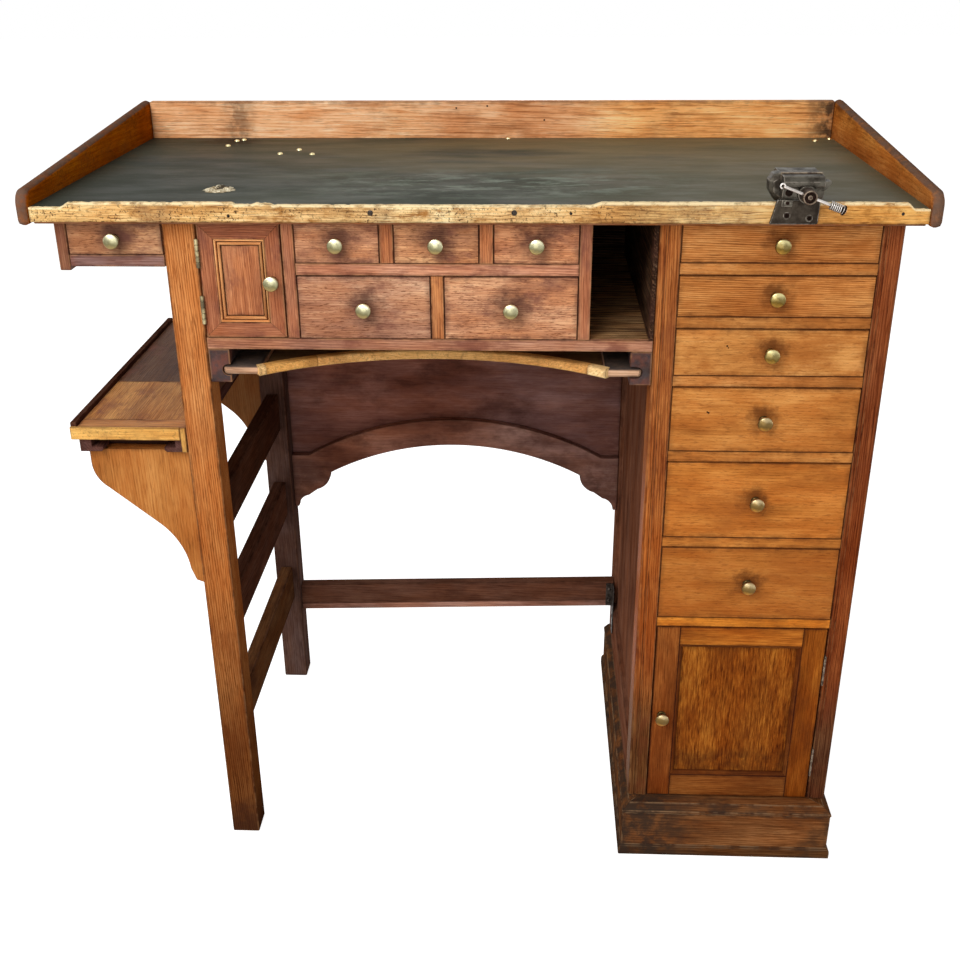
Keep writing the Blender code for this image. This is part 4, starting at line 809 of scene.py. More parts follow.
def lip_section(x, low, high):
    """The lip's section at x, with small bites out of its front and its upper edge."""
    top = lip_top(x, low, high)
    section = arc((high.y - LIP_ROUND_LOW, low.z + LIP_ROUND_LOW), LIP_ROUND_LOW, 0, -90, 2)
    section += arc((low.y + LIP_ROUND_LOW, low.z + LIP_ROUND_LOW), LIP_ROUND_LOW, 270, 180, 2)
    section += [(low.y, low.z + (top - low.z) * share) for share in (0.3, 0.6)]
    section += arc((low.y + LIP_ROUND_TOP, top - LIP_ROUND_TOP), LIP_ROUND_TOP, 180, 90, 4)
    section += arc((high.y - LIP_ROUND_TOP, top - LIP_ROUND_TOP), LIP_ROUND_TOP, 90, 0, 4)
    ring = []
    for y, z in section:
        edge = max(0, 1 - abs(z - top) / 0.006)
        depth = noise.noise((x * 160, y * 300, z * 210)) - 0.15
        bite = max(0, depth) * (0.0006 + 0.0012 * edge)
        ring.append((x, y + bite if y < low.y + 0.004 else y, z - bite * edge))
    return ring


def make_lip():
    low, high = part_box("front_lip")
    places = [low.x + (high.x - low.x) * index / LIP_RINGS for index in range(LIP_RINGS + 1)]
    lip = Piece("worn_front_lip", "lip")
    lip.put(loft([lip_section(x, low, high) for x in places]))
    half = (high.z - low.z) / 2
    for index, point in enumerate(lip.points):
        share = (point.z - low.z) / (lip_top(point.x, low, high) - low.z)
        lip.values["place"][index] = (*lip.values["place"][index][:2], half * (2 * share - 1))
        lip.values["half"][index] = (*lip.values["half"][index][:2], half)
    lip.done("bench", "front_lip", slot="pale_bare_wood")

    nails = Piece("lip_nails", "nail")
    for x, z, radius in LIP_NAILS:
        head = stud(radius, 0.0001, radius * 0.7, 0.0006, 0.0008, sunk=0.004)
        nails.turn(head, (x, low.y, z), sides=20)
    nails.done("bench", slot="iron")

    tacks = Piece("brass_tacks", "tack")
    for x, y in TACKS:
        tacks.turn(TACK_DOME, (x, y, surface), UP)
    tacks.done("bench", slot="brass")


TEAR_CENTRE = (-0.325, -0.146)
TEAR_HALF = (0.022, 0.030)
TEAR_RINGS = 9
TEAR_STEPS = 44
TEAR_CURL = 0.0040


def tear_point(share, angle):
    """A point of the tear, at a share of the way from its middle to its ragged edge."""
    across, up = math.cos(angle), math.sin(angle)
    ragged = 1 + 0.16 * noise.noise((across * 2.1, up * 2.1, 4.0))
    ragged += 0.14 * noise.noise((across * 7.3, up * 7.3, 1.0))
    arch = math.copysign(abs(up) ** 1.5, up)
    x = TEAR_CENTRE[0] + TEAR_HALF[0] * share * ragged * across
    y = TEAR_CENTRE[1] + TEAR_HALF[1] * share * ragged * arch * (0.5 if arch < 0 else 1.0)
    curl = math.exp(-((share - 0.60) / 0.17) ** 2) * (0.55 if arch < 0 else 1.0)
    uneven = 0.6 + 0.8 * abs(noise.noise((x * 150, y * 150, 0.4)))
    return x, y, surface + 0.00015 + TEAR_CURL * curl * uneven


def make_tear():
    """A lens-shaped worn place where the linoleum's torn edge curls up."""
    shape = bmesh.new()
    turns = [2 * math.pi * step / TEAR_STEPS for step in range(TEAR_STEPS)]
    grid = []
    for ring in range(TEAR_RINGS + 1):
        grid.append([shape.verts.new(tear_point(ring / TEAR_RINGS, angle)) for angle in turns])
    grid.append([shape.verts.new((rim.co.x, rim.co.y, surface - 0.0005)) for rim in grid[-1]])
    for inner, outer in zip(grid, grid[1:]):
        for step in range(TEAR_STEPS):
            after = (step + 1) % TEAR_STEPS
            shape.faces.new((inner[step], inner[after], outer[after], outer[step]))
    shape.faces.new(grid[-1])
    bmesh.ops.remove_doubles(shape, verts=grid[0], dist=0.00001)
    bmesh.ops.recalc_face_normals(shape, faces=shape.faces)
    tear = Piece("worn_linoleum_patch", "torn")
    tear.put(shape)
    tear.done("bench", slot="linoleum")


# Legs, rails and stretcher

LEGS = {"front": ("oak", (0.88, 0.92, 1.05)), "rear": ("dark", (1.25, 1.65, 2.0))}
LADDER_TINTS = {"upper": (1.0, 0.95, 0.8), "middle": (1.15, 1.1, 1.0), "lower": (1.5, 1.5, 0.9)}
STRETCHER_RISE = 0.017
STRETCHER_BEAD = 0.0115
STRETCHER_GROOVE = 0.0012
STRAP = 0.0022
STRAP_SCREW = stud(0.0034, 0.0002, 0.0026, 0.0010, 0.0014)


def make_legs():
    for place, (finish, tint) in LEGS.items():
        make_board(place + "_post", place + "_leg", finish, "orange_oak", "z", 0.0022, tint)
    for place, tint in LADDER_TINTS.items():
        make_board(place + "_ladder_rail", place + "_side_rail", "dark", "dark_oak", "y", 0.0018, tint)


def make_stretcher():
    """The sloping foot rail, with a bead along its lower edge, and the iron strap at its end."""
    low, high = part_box("rear_stretcher")
    slope = STRETCHER_RISE / (high.x - low.x)
    bead = low.z + STRETCHER_BEAD
    top = low.z + (high.z - low.z - STRETCHER_RISE)
    groove = low.y + STRETCHER_GROOVE
    upper = [(high.y, bead), (groove, bead), (low.y, bead + STRETCHER_GROOVE), (low.y, top), (high.y, top)]
    lower = [(high.y, low.z), (low.y, low.z), (low.y, bead - STRETCHER_GROOVE), (groove, bead)]
    lower += [(high.y, bead)]
    stretcher = Piece("foot_stretcher", "dark")
    for section, tint in ((upper, (1.5, 1.5, 1.4)), (lower, (4.0, 4.7, 5.2))):
        shape = prism_shape(section, "x", low.x, high.x, CRISP)
        for vertex in shape.verts:
            vertex.co.z += slope * (vertex.co.x - low.x)
        stretcher.put(shape, "x", tint)
    stretcher.done("bench", "rear_stretcher", slot="dark_oak")

    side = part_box("pedestal_carcase")[0].x
    iron = Piece("stretcher_bracket", "nail")
    iron.box((side - STRAP, low.y - 0.026, 0.112), (side, low.y, 0.200), "z", 0.0006)
    iron.box((side - 0.013, low.y - STRAP, 0.156), (side, low.y, 0.201), "z", 0.0006)
    for z in (0.122, 0.143):
        iron.turn(STRAP_SCREW, (side - STRAP, low.y - 0.015, z), (-1, 0, 0), 16)
    for z in (0.167, 0.189):
        iron.turn(STRAP_SCREW, (side - 0.0075, low.y - STRAP, z), TOWARDS, 16)
    iron.done("bench", slot="iron")


# Arched rail and back panel

ARCH_INSET = 0.0653
ARCH_RISE = 0.054
ARCH_CROWN = 0.461
ARCH_BAND = 0.046
ARCH_SHOULDER = 0.030
ARCH_LOBE = 0.033
ARCH_COVE = 0.022
ARCH_TIP = 0.007
PANEL_LAP = 0.022
PANEL_NAILS = 7
PANEL_NAIL_INSET = 0.012


def arch_circle(low, high):
    half_span = (high.x - low.x) / 2 - ARCH_INSET
    radius = (half_span ** 2 + ARCH_RISE ** 2) / (2 * ARCH_RISE)
    centre = ((low.x + high.x) / 2, ARCH_CROWN - radius)
    band = radius + ARCH_BAND
    shoulder = math.degrees(math.acos((high.x - ARCH_SHOULDER - centre[0]) / band))
    spring = 90 - math.degrees(math.asin(half_span / radius))
    return centre, radius, spring, shoulder


def mirrored(half, middle):
    return half + [(2 * middle - x, z) for x, z in reversed(half)]


def arch_outline(low, high):
    centre, radius, spring, shoulder = arch_circle(low, high)
    outline = arc(centre, radius, 90, spring, 24)
    lobe = (outline[-1][0] + ARCH_LOBE, outline[-1][1])
    outline += arc(lobe, ARCH_LOBE, 180, 255, 10)[1:]
    cove = (high.x - ARCH_TIP - ARCH_COVE, outline[-1][1] - ARCH_LOBE)
    outline += arc(cove, ARCH_COVE, 80, 0, 10)
    outline.append((high.x, outline[-1][1]))
    upper = arc(centre, radius + ARCH_BAND, shoulder, 90, 24)
    outline.append((high.x, upper[0][1]))
    return mirrored(outline[1:] + upper[:-1], centre[0])


def panel_outline(low, high):
    centre, radius, _, shoulder = arch_circle(low, high)
    outline = arc(centre, radius + PANEL_LAP, 90, shoulder, 20)
    outline += [(high.x, outline[-1][1]), (high.x, high.z)]
    return mirrored(outline[1:], centre[0])


def make_back():
    low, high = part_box("arched_rail")
    rail = Piece("arched_apron", "dim")
    rail.prism(arch_outline(low, high), "y", low.y, high.y, edge=0.0016, tint=(2.9, 3.2, 3.3))
    rail.done("bench", "arched_rail", slot="dark_oak")

    low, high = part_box("back_panel")
    panel = Piece("kneehole_back", "dim", "nail")
    panel.prism(panel_outline(low, high), "y", low.y, high.y, edge=CRISP, tint=(2.2, 2.3, 2.6))
    for x in (low.x + PANEL_NAIL_INSET, high.x - PANEL_NAIL_INSET):
        for index in range(PANEL_NAILS):
            z = low.z + 0.04 + (high.z - low.z - 0.06) * index / (PANEL_NAILS - 1)
            panel.turn(NAIL_HEAD, (x, high.y, z), AWAY, 14, finish=1)
    panel.done("bench", "back_panel", slot="dark_oak")


# Drawers and knobs

DRAWER_FRONT = 0.016
DRAWER_WALL = 0.008
DRAWER_FLOOR = 0.006
DRAWER_SIDE_DROP = 0.005
OUTER_GUIDE = 0.007
TAIL_PITCH = 0.024
TAIL_ROOT = 0.20
TAIL_TIP = 0.32
TAIL_LAP = 0.005
TAIL_DEPTH = 0.002
TAIL_PROUD = 0.00012
KNOB_SWELL = 1.05
KNOB_RIM = 0.0028
KNOB_CROWN = 0.0014
KNOB_STEM = ((0, 0), (0.0062, 0), (0.0062, 0.0010), (0.0054, 0.0017), (0.0040, 0.0024),
             (0.0036, 0.0050), (0.0042, 0.0076), (0.0062, 0.0096))
CASE_DRAWERS = {"outer_drawer": (0.83, 0.88, 0.92), "small_drawer_left": (1.03, 1.08, 1.18),
                "small_drawer_middle": (1.0, 1.02, 1.0), "small_drawer_right": (1.0, 0.95, 0.95),
                "large_drawer_left": (0.83, 0.89, 1.10), "large_drawer_right": (1.08, 1.15, 1.28)}
# The lower drawers' darker tints partly paint shade for the fall of light towards the floor
PEDESTAL_DRAWERS = (("drawer", "brass", (0.85, 0.88, 1.16)), ("drawer", "brass", (0.83, 0.82, 1.0)),
                    ("honey", "brass", (1.06, 1.20, 1.58)), ("honey", "old_brass", (0.94, 0.93, 1.0)),
                    ("honey", "old_brass", (0.96, 0.89, 0.82)), ("honey", "old_brass", (0.79, 0.70, 0.63)))
DRAWER_MARKS = {3: ((0.3125, 0.7859, 0.0013), (0.3142, 0.7835, 0.0009)),
                4: ((0.2944, 0.6981, 0.0012), (0.2962, 0.6969, 0.0014))}


def make_knob(node, body, finish):
    low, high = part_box(node)
    reach = high.y - low.y
    radius = (high.x - low.x) / 2 * KNOB_SWELL
    flat = radius - KNOB_RIM
    profile = [*KNOB_STEM, (radius - 0.0010, 0.0110), (radius - 0.0002, 0.0122)]
    profile += arc((flat, reach - KNOB_CROWN - KNOB_RIM), KNOB_RIM, 0, 75, 5)
    profile += [(flat * share, reach - KNOB_CROWN * share ** 2) for share in (0.95, 0.75, 0.5, 0.25, 0)]
    knob = Piece("turned_" + node, finish)
    knob.turn(profile, ((low.x + high.x) / 2, high.y, (low.z + high.z) / 2), sides=44)
    knob.done(body, node, slot="brass")


def make_drawer(node, finish, tint, slot, knob="pale_brass", guide=0.0, marks=()):
    """A drawer with dovetailed sides. The right side stands in where there is a guide."""
    low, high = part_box(node)
    behind = low.y + DRAWER_FRONT
    rear = high.y - DRAWER_WALL
    rim = high.z - DRAWER_SIDE_DROP
    left, right = low.x + DRAWER_WALL, high.x - guide - DRAWER_WALL
    drawer = Piece(node + "_boards", finish, "bare", "hole")
    drawer.box(low, (high.x, behind, high.z), "x", EASED, tint)
    for x in (low.x, right):
        drawer.box((x, behind, low.z), (x + DRAWER_WALL, high.y, rim), "y", CRISP, finish=1)
    drawer.box((left, rear, low.z), (right, high.y, rim), "x", CRISP, finish=1)
    floor = (right, rear, low.z + DRAWER_FLOOR)
    drawer.box((left, behind, low.z), floor, "x", HAIRLINE, (0.85, 0.85, 0.85), 1)
    tails = max(2, round((rim - low.z) / TAIL_PITCH))
    pitch = (rim - low.z) / tails
    faces = [(low.x - TAIL_PROUD, low.x + TAIL_DEPTH)]
    if not guide:
        faces.append((high.x - TAIL_DEPTH, high.x + TAIL_PROUD))
    for index in range(tails):
        middle = low.z + (index + 0.5) * pitch
        root, tip = TAIL_ROOT * pitch, TAIL_TIP * pitch
        outline = [(behind + 0.001, middle - root), (low.y + TAIL_LAP, middle - tip)]
        outline += [(low.y + TAIL_LAP, middle + tip), (behind + 0.001, middle + root)]
        for start, end in faces:
            drawer.prism(outline, "x", start, end, "y", 0, (1.1, 1.1, 1.1), 1)
    for x, z, radius in marks:
        drawer.turn(dent(radius, radius * 0.9), (x, low.y, z), sides=12, tint=(4, 3, 2), finish=2)
    drawer.done(node, node, slot=slot)
    make_knob(node + "_knob", node, knob)


def make_drawers():
    for node, tint in CASE_DRAWERS.items():
        guide = OUTER_GUIDE if node == "outer_drawer" else 0.0
        make_drawer(node, "case_drawer", tint, "pink_brown_drawer_wood", guide=guide)
    for number, (finish, knob, tint) in enumerate(PEDESTAL_DRAWERS, 1):
        node = "pedestal_drawer_" + str(number)
        make_drawer(node, finish, tint, "honey_drawer_wood", knob, marks=DRAWER_MARKS.get(number, ()))


# Case and its tray

CASE_SIDE = 0.006
CASE_BACK = 0.010
CASE_FACING = 0.006
OUTER_CHEEK = 0.014
RUNNER = 0.027
GROOVE = 0.011
GROOVE_EXTRA = 0.005
TRAY_SHIFT = 0.0035
TRAY_HORN = 0.006
TRAY_HOLLOW = 0.070
TRAY_BATTEN = 0.045
TRAY_RIM = 0.015
TRAY_ROUND = 0.0036
TRAY_FLOOR = 0.006
TRAY_TINTS = ((1.3, 1.35, 1.6), (1.1, 0.94, 0.76), (1.15, 1.02, 0.94), (1.25, 1.35, 1.7))


def lined_board(piece, x, z, back, grain, tint, finishes=(0, 1)):
    """A board with a finished front edge. The rest of it is dark and runs on to the back."""
    behind = front + RAIL_DEPTH
    inner_grain = "y" if grain == "z" else grain
    piece.box((x[0], front, z[0]), (x[1], behind, z[1]), grain, CRISP, tint, finishes[0])
    piece.box((x[0], behind, z[0]), (x[1], back, z[1]), inner_grain, FINE, PLAIN, finishes[1])


def make_case():
    low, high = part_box("upper_case")
    small = [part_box("small_drawer_" + place) for place in ("left", "middle", "right")]
    large = [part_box("large_drawer_" + place) for place in ("left", "right")]
    rail_top, floor_top = small[0][0].z - FIT, large[0][0].z - FIT
    rail_low, floor_low = rail_top - BOARD, floor_top - BOARD
    bay = (small[0][0].x - SIDE_GAP, small[2][1].x + SIDE_GAP)
    back = high.y - CASE_BACK
    facing = front + CASE_FACING
    case = Piece("drawer_case", "case", "inside")
    for x in (bay[0] - BOARD, bay[1]):
        lined_board(case, (x, x + BOARD), (floor_top, high.z), back, "z", (0.93, 0.96, 1.12))
    case.box((low.x, front, floor_low), (high.x, facing, floor_top), "x", EASED, (0.93, 1.12, 1.52))
    case.box((low.x, facing, floor_low), (high.x, high.y, floor_top), "x", FINE, (4.6, 4.6, 3.6), 1)
    lined_board(case, bay, (rail_low, rail_top), back, "x", (1.23, 1.46, 1.95))
    for (_, first), (second, _) in zip(small, small[1:]):
        span = (first.x + SIDE_GAP, second.x - SIDE_GAP)
        lined_board(case, span, (rail_top, high.z), back, "z", (1.05, 1.05, 1.0))
    span = (large[0][1].x + SIDE_GAP, large[1][0].x - SIDE_GAP)
    lined_board(case, span, (floor_top, rail_low), back, "z", (1.15, 1.2, 1.0))
    left, right = low.x + CASE_SIDE, high.x - CASE_SIDE
    case.box((low.x, front + DOOR_DEPTH, floor_top), (left, back, high.z), "y", FINE, finish=1)
    case.box((right, front, floor_top), (high.x, back, high.z), "y", 0.0006, finish=1)
    case.box((low.x, back, floor_top), high, "x", FINE, finish=1)

    tray_low, tray_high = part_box("apron_tray")
    groove_low, groove_high = tray_low.z - FIT, tray_high.z + 0.0015
    radius = (groove_high - groove_low) / 2
    for edge, inward, depth, start in ((low.x, 1, GROOVE, 270), (high.x, -1, GROOVE + GROOVE_EXTRA, -90)):
        face = edge + inward * RUNNER
        centre = (face - inward * (depth - radius), groove_low + radius)
        outline = [(edge, low.z), (face, low.z), (face, groove_low), *arc(centre, radius, start, 90, 8)]
        outline += [(face, groove_high), (face, floor_low), (edge, floor_low)]
        case.prism(outline, "y", front + 0.001, high.y, "y", 0.0007, (0.13, 0.26, 0.60))
    case.done("bench", "upper_case", slot="red_brown_wood")


def curved_strip(centre, radius, width, start, end, low, high, rounding):
    """A strip along an arc, from the angle start to end, with rounded long edges."""
    near = [(0, rounding), (rounding * 0.3, rounding * 0.3), (rounding, 0)]
    lower = near + [(width - u, v) for u, v in reversed(near)]
    section = lower + [(u, high - low - v) for u, v in reversed(lower)]
    steps = max(4, round(abs(start - end) / 1.5))
    rings = []
    for step in range(steps + 1):
        angle = math.radians(start + (end - start) * step / steps)
        x, y = math.cos(angle), math.sin(angle)
        ring = [(centre[0] + (radius + u) * x, centre[1] + (radius + u) * y, low + v) for u, v in section]
        rings.append(ring)
    shape = loft(rings)
    soften(shape, FINE, 1)
    return shape


def make_tray():
    low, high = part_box("apron_tray")
    middle = (low.x + high.x) / 2 + TRAY_SHIFT
    half = (high.x - low.x) / 2 - TRAY_BATTEN
    radius = (half ** 2 + TRAY_HOLLOW ** 2) / (2 * TRAY_HOLLOW)
    centre = (middle, low.y + TRAY_HOLLOW - radius)
    spread = math.degrees(math.asin(half / radius))
    left, right = 90 + spread, 90 - spread
    tray = Piece("apron_tray_boards", "pale", "batten", "bare")
    for start, end in ((low.x, middle - half - FIT), (middle + half + FIT, high.x + GROOVE_EXTRA)):
        tray.box((start, low.y + TRAY_HORN, low.z), (end, high.y, high.z), "x", 0.0045, PLAIN, 1)
    joints = [left] + [left - math.degrees(length / radius) for length in (0.009, 0.078)]
    joints += [right + math.degrees(0.026 / radius), right]
    for start, end, tint in zip(joints, joints[1:], TRAY_TINTS):
        strip = curved_strip(centre, radius, TRAY_RIM, start, end, low.z, high.z, TRAY_ROUND)
        tray.put(strip, "x", tint)
    rim = arc(centre, radius + TRAY_RIM, left - 1.5, right + 1.5, 24)
    left, right = middle - half + FIT, middle + half - FIT
    floor = [(left, rim[0][1]), *rim, (right, rim[-1][1]), (right, high.y), (left, high.y)]
    tray.prism(floor, "z", low.z + 0.001, low.z + TRAY_FLOOR, "x", HAIRLINE, (0.55, 0.50, 0.45), 2)
    tray.done("apron_tray", "apron_tray", slot="pale_bare_wood")


def make_outer_case():
    low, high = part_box("outer_drawer_case")
    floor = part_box("outer_drawer")[0].z - FIT
    cheek, guide = low.x + OUTER_CHEEK, high.x - OUTER_GUIDE
    case = Piece("outer_drawer_housing", "case", "inside")
    case.box(low, (cheek, high.y, high.z), "z", 0.0016, (0.50, 0.52, 0.62))
    case.box((cheek, front, floor - BOARD), (high.x, high.y, floor), "x", ARRIS, (0.54, 0.76, 1.45))
    case.box((guide, front + DRAWER_FRONT + FIT, floor), high, "y", FINE, finish=1)
    case.box((cheek, high.y - CASE_BACK, floor), (guide, high.y, high.z), "x", FINE, finish=1)
    case.done("bench", "outer_drawer_case", slot="red_brown_wood")


# Doors and hinges

CUPBOARD_FRAME = 0.0195
CUPBOARD_TINT = (0.75, 0.67, 0.71)
# Inset from the frame, width, rise and shade of each bead
CUPBOARD_BEADS = ((-0.0002, 0.0027, 0.0022, 1.0), (0.0038, 0.0032, 0.0012, 0.85))
DOOR_STILE = 0.032
DOOR_TOP_RAIL = 0.029
DOOR_BOTTOM_RAIL = 0.037
DOOR_MOULD = (0.0055, 0.005)
HINGES = {"cupboard": ("hinge", 1.0), "pedestal": ("rust", 0.55)}
HINGE_KNUCKLES = 5
HINGE_GAP = 0.0004
HINGE_LEAF = 0.0006


# right scales the tint of the right-hand side, for painted shade on that side
def mitred_frame(piece, low, high, profile, tint, edge=FINE, finish=0, right=1.0):
    for side, grain in (("bottom", "x"), ("top", "x"), ("left", "z"), ("right", "z")):
        shade = [value * right for value in tint] if side == "right" else tint
        piece.put(mitred_shape(side, low, high, profile, "xzy", edge=edge), grain, shade, finish)


def square_profile(start, end, near, far):
    """A square section, as (inset, depth) pairs."""
    return [(start, near), (end, near), (end, far), (start, far)]


def bead_profile(start, depth, width, height):
    """A half-round bead with a flat back, as (inset, depth) pairs."""
    bead = arc((start + width / 2, depth), (width / 2, height), 180, 360, 6)
    return bead + [(start + width, depth + 0.003), (start, depth + 0.003)]


def make_cupboard_door():
    low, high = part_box("cupboard_door")
    corners = ((low.x, low.z), (high.x, high.z))
    width = CUPBOARD_FRAME
    inner, groove_back = width + 0.0085, high.y - 0.004
    door = Piece("cupboard_door_boards", "case", "bead", "hole")
    mitred_frame(door, *corners, square_profile(0, width, low.y, high.y), CUPBOARD_TINT)
    for start, size, rise, shade in CUPBOARD_BEADS:
        profile = bead_profile(width + start, low.y + 0.0016, size, rise)
        # The right-hand beads are tinted darker: painted shade, as their slopes face away from the light
        mitred_frame(door, *corners, profile, (shade, shade, shade), 0, 1, right=0.66)
    # The groove behind the beads is near black: painted shadow in the groove
    groove = square_profile(width, inner, low.y + 0.0040, groove_back)
    mitred_frame(door, *corners, groove, (4, 2, 1.4), 0, 2)
    inset = width + 0.0080
    panel_low = (low.x + inset, low.y + 0.0034, low.z + inset)
    panel_high = (high.x - inset, high.y - 0.001, high.z - inset)
    door.box(panel_low, panel_high, "z", HAIRLINE, (0.98, 0.98, 0.98))
    strip = square_profile(width - 0.001, inner, groove_back, high.y - 0.0006)
    mitred_frame(door, *corners, strip, CUPBOARD_TINT, HAIRLINE)
    door.done("cupboard_door", "cupboard_door", slot="orange_oak")
    make_knob("cupboard_door_knob", "cupboard_door", "pale_brass")


def make_pedestal_door():
    low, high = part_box("pedestal_door_frame")
    left, right = low.x + DOOR_STILE, high.x - DOOR_STILE
    lower, upper = low.z + DOOR_BOTTOM_RAIL, high.z - DOOR_TOP_RAIL
    door = Piece("pedestal_door_rails", "door")
    for x, tint in ((low.x, (0.82, 0.78, 0.88)), (right, (1.0, 0.94, 0.62))):
        door.box((x, low.y, low.z), (x + DOOR_STILE, high.y, high.z), "z", EASED, tint)
    door.box((left, low.y, upper), (right, high.y, high.z), "x", NEAT, (1.45, 1.48, 1.1))
    door.box((left, low.y, low.z), (right, high.y, lower), "x", NEAT, (0.82, 0.94, 1.2))
    seat = low.y + 0.0058
    profile = [(0, low.y + 0.0008), *arc((0, seat), DOOR_MOULD, -90, 0, 5)[1:], (0, seat)]
    # The moulding round the panel is tinted darker: painted shadow of the panel's recess
    mitred_frame(door, (left, lower), (right, upper), profile, (0.62, 0.60, 0.62), 0)
    door.done("pedestal_door", "pedestal_door_frame", slot="orange_oak")
    field = ("pedestal_door_field", "pedestal_door_panel", "panel", "orange_oak", "z", FINE)
    make_board(*field, body="pedestal_door")
    make_knob("pedestal_door_knob", "pedestal_door", "old_brass")


def make_hinge(node, finish, slim):
    low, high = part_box(node)
    half = (high.x - low.x) / 2
    radius = half * slim
    neck = radius - HAIRLINE
    x, y = (low.x + high.x) / 2, low.y + half
    length = (high.z - low.z) / HINGE_KNUCKLES
    tall = length - HINGE_GAP
    knuckle = [(0, 0), (neck, 0), (radius, HAIRLINE), (radius, tall - HAIRLINE), (neck, tall), (0, tall)]
    hinge = Piece("knuckled_" + node, finish)
    for index in range(HINGE_KNUCKLES):
        hinge.turn(knuckle, (x, y, low.z + index * length), UP, 20)
    hinge.turn(rod(radius * 0.5, high.z - low.z), (x, y, low.z), UP, 12)
    leaf = (x - HINGE_LEAF, y + radius * 0.8, low.z)
    hinge.box(leaf, (x + HINGE_LEAF, high.y, high.z - HINGE_GAP), "z", 0.0002)
    hinge.done("bench", node, slot="steel")


def make_hinges():
    for door, (finish, slim) in HINGES.items():
        for place in ("upper", "lower"):
            make_hinge(door + "_hinge_" + place, finish, slim)


# Pedestal and plinth

PEDESTAL_STILE = 0.0263
PEDESTAL_BACK = 0.012
PEDESTAL_FLOOR = 0.014
SIDE_STILE = 0.046
SIDE_TOP = 0.060
SIDE_BOTTOM = 0.070
SIDE_RECESS = 0.007
STILE_ROUND = 0.005
QUIRK = 0.0018
QUIRK_DEPTH = 0.0016
RAIL_GAP = 0.0012
RAIL_TINTS = ((0.92, 0.98, 1.3), (0.96, 1.05, 1.4), (0.98, 1.05, 1.4), (0.98, 1.02, 1.2),
              (1.02, 1.0, 1.0), (1.22, 1.08, 0.65))
BACK_TINTS = (2.1, 1.8, 2.0)


def stile_outline(outer, inward, quirk_from):
    """Section of a front stile: a rounded outer corner and a quirk cut into its face."""
    centre = (outer + inward * STILE_ROUND, front + STILE_ROUND)
    start, end = (180, 270) if inward > 0 else (0, -90)
    groove = outer + inward * quirk_from
    inner = outer + inward * PEDESTAL_STILE
    bottom = front + QUIRK_DEPTH
    outline = [(outer, front + SIDE_STILE), *arc(centre, STILE_ROUND, start, end, 6)]
    outline += [(groove - inward * 0.0010, front), (groove, bottom), (groove + inward * QUIRK, bottom)]
    outline += [(groove + inward * (QUIRK + 0.0008), front), (inner, front)]
    return outline + [(inner, front + SIDE_STILE)]


def make_pedestal():
    low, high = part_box("pedestal_carcase")
    drawers = [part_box("pedestal_drawer_" + str(number)) for number in range(1, 7)]
    opening = (low.x + PEDESTAL_STILE, high.x - PEDESTAL_STILE)
    back = high.y - PEDESTAL_BACK
    base = Piece("pedestal_boards", "stile", "honey", "inside", "dark", "nail")
    stiles = ((low.x, 1, 0.009, (0.96, 0.84, 0.54)), (high.x, -1, 0.020, (0.66, 0.50, 0.40)))
    for outer, inward, quirk_from, tint in stiles:
        base.prism(stile_outline(outer, inward, quirk_from), "z", low.z, high.z, "z", NEAT, tint)
    fronts_below = [*drawers[1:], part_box("pedestal_door_frame")]
    for above, below, tint in zip(drawers, fronts_below, RAIL_TINTS):
        lined_board(base, opening, (below[1].z + RAIL_GAP, above[0].z - FIT), back, "x", tint, (1, 2))

    near, rear = front + SIDE_STILE, high.y - SIDE_STILE
    lower, upper = low.z + SIDE_BOTTOM, high.z - SIDE_TOP
    boards = ((0, (rear, high.y), (low.z, high.z), "z"), (0, (near, rear), (low.z, lower), "y"),
              (0, (near, rear), (upper, high.z), "y"), (SIDE_RECESS, (near, rear), (lower, upper), "z"))
    for outer, inward, tint in ((low.x, 1, (2.05, 1.95, 1.65)), (high.x, -1, (2.3, 2.2, 1.9))):
        for inset, y, z, grain in boards:
            x = sorted((outer + inward * inset, outer + inward * PEDESTAL_STILE))
            base.box((x[0], y[0], z[0]), (x[1], y[1], z[1]), grain, EASED, tint, 3)

    width = (opening[1] - opening[0]) / len(BACK_TINTS)
    for index, shade in enumerate(BACK_TINTS):
        x = opening[0] + index * width
        base.box((x, back, low.z), (x + width, high.y, high.z), "z", 0.0009, (shade, shade, shade), 3)
        for share in (0.2, 0.8):
            for z in (low.z + 0.012, (low.z + high.z) / 2, high.z - 0.020):
                base.turn(NAIL_HEAD, (x + share * width, high.y, z), AWAY, 14, "z", finish=4)
    floor = (opening[0], front + DOOR_DEPTH, low.z)
    base.box(floor, (opening[1], back, low.z + PEDESTAL_FLOOR), "x", NEAT, PLAIN, 2)
    base.done("bench", "pedestal_carcase", slot="red_brown_wood")


PLINTH_WALL = 0.052
PLINTH_REAR = 0.022
PLINTH_STEP = 0.0042
PLINTH_CHAMFER = (0.011, 0.009)
PLINTH_SHOE = 0.018
# Side, grain, how far its far end is mitred, and tint
PLINTH_SIDES = (("bottom", "x", 1.0, (1.25, 1.25, 1.25)), ("left", "y", 0.0, (1.6, 1.48, 1.2)),
                ("right", "y", 0.0, (0.8, 0.8, 0.8)))


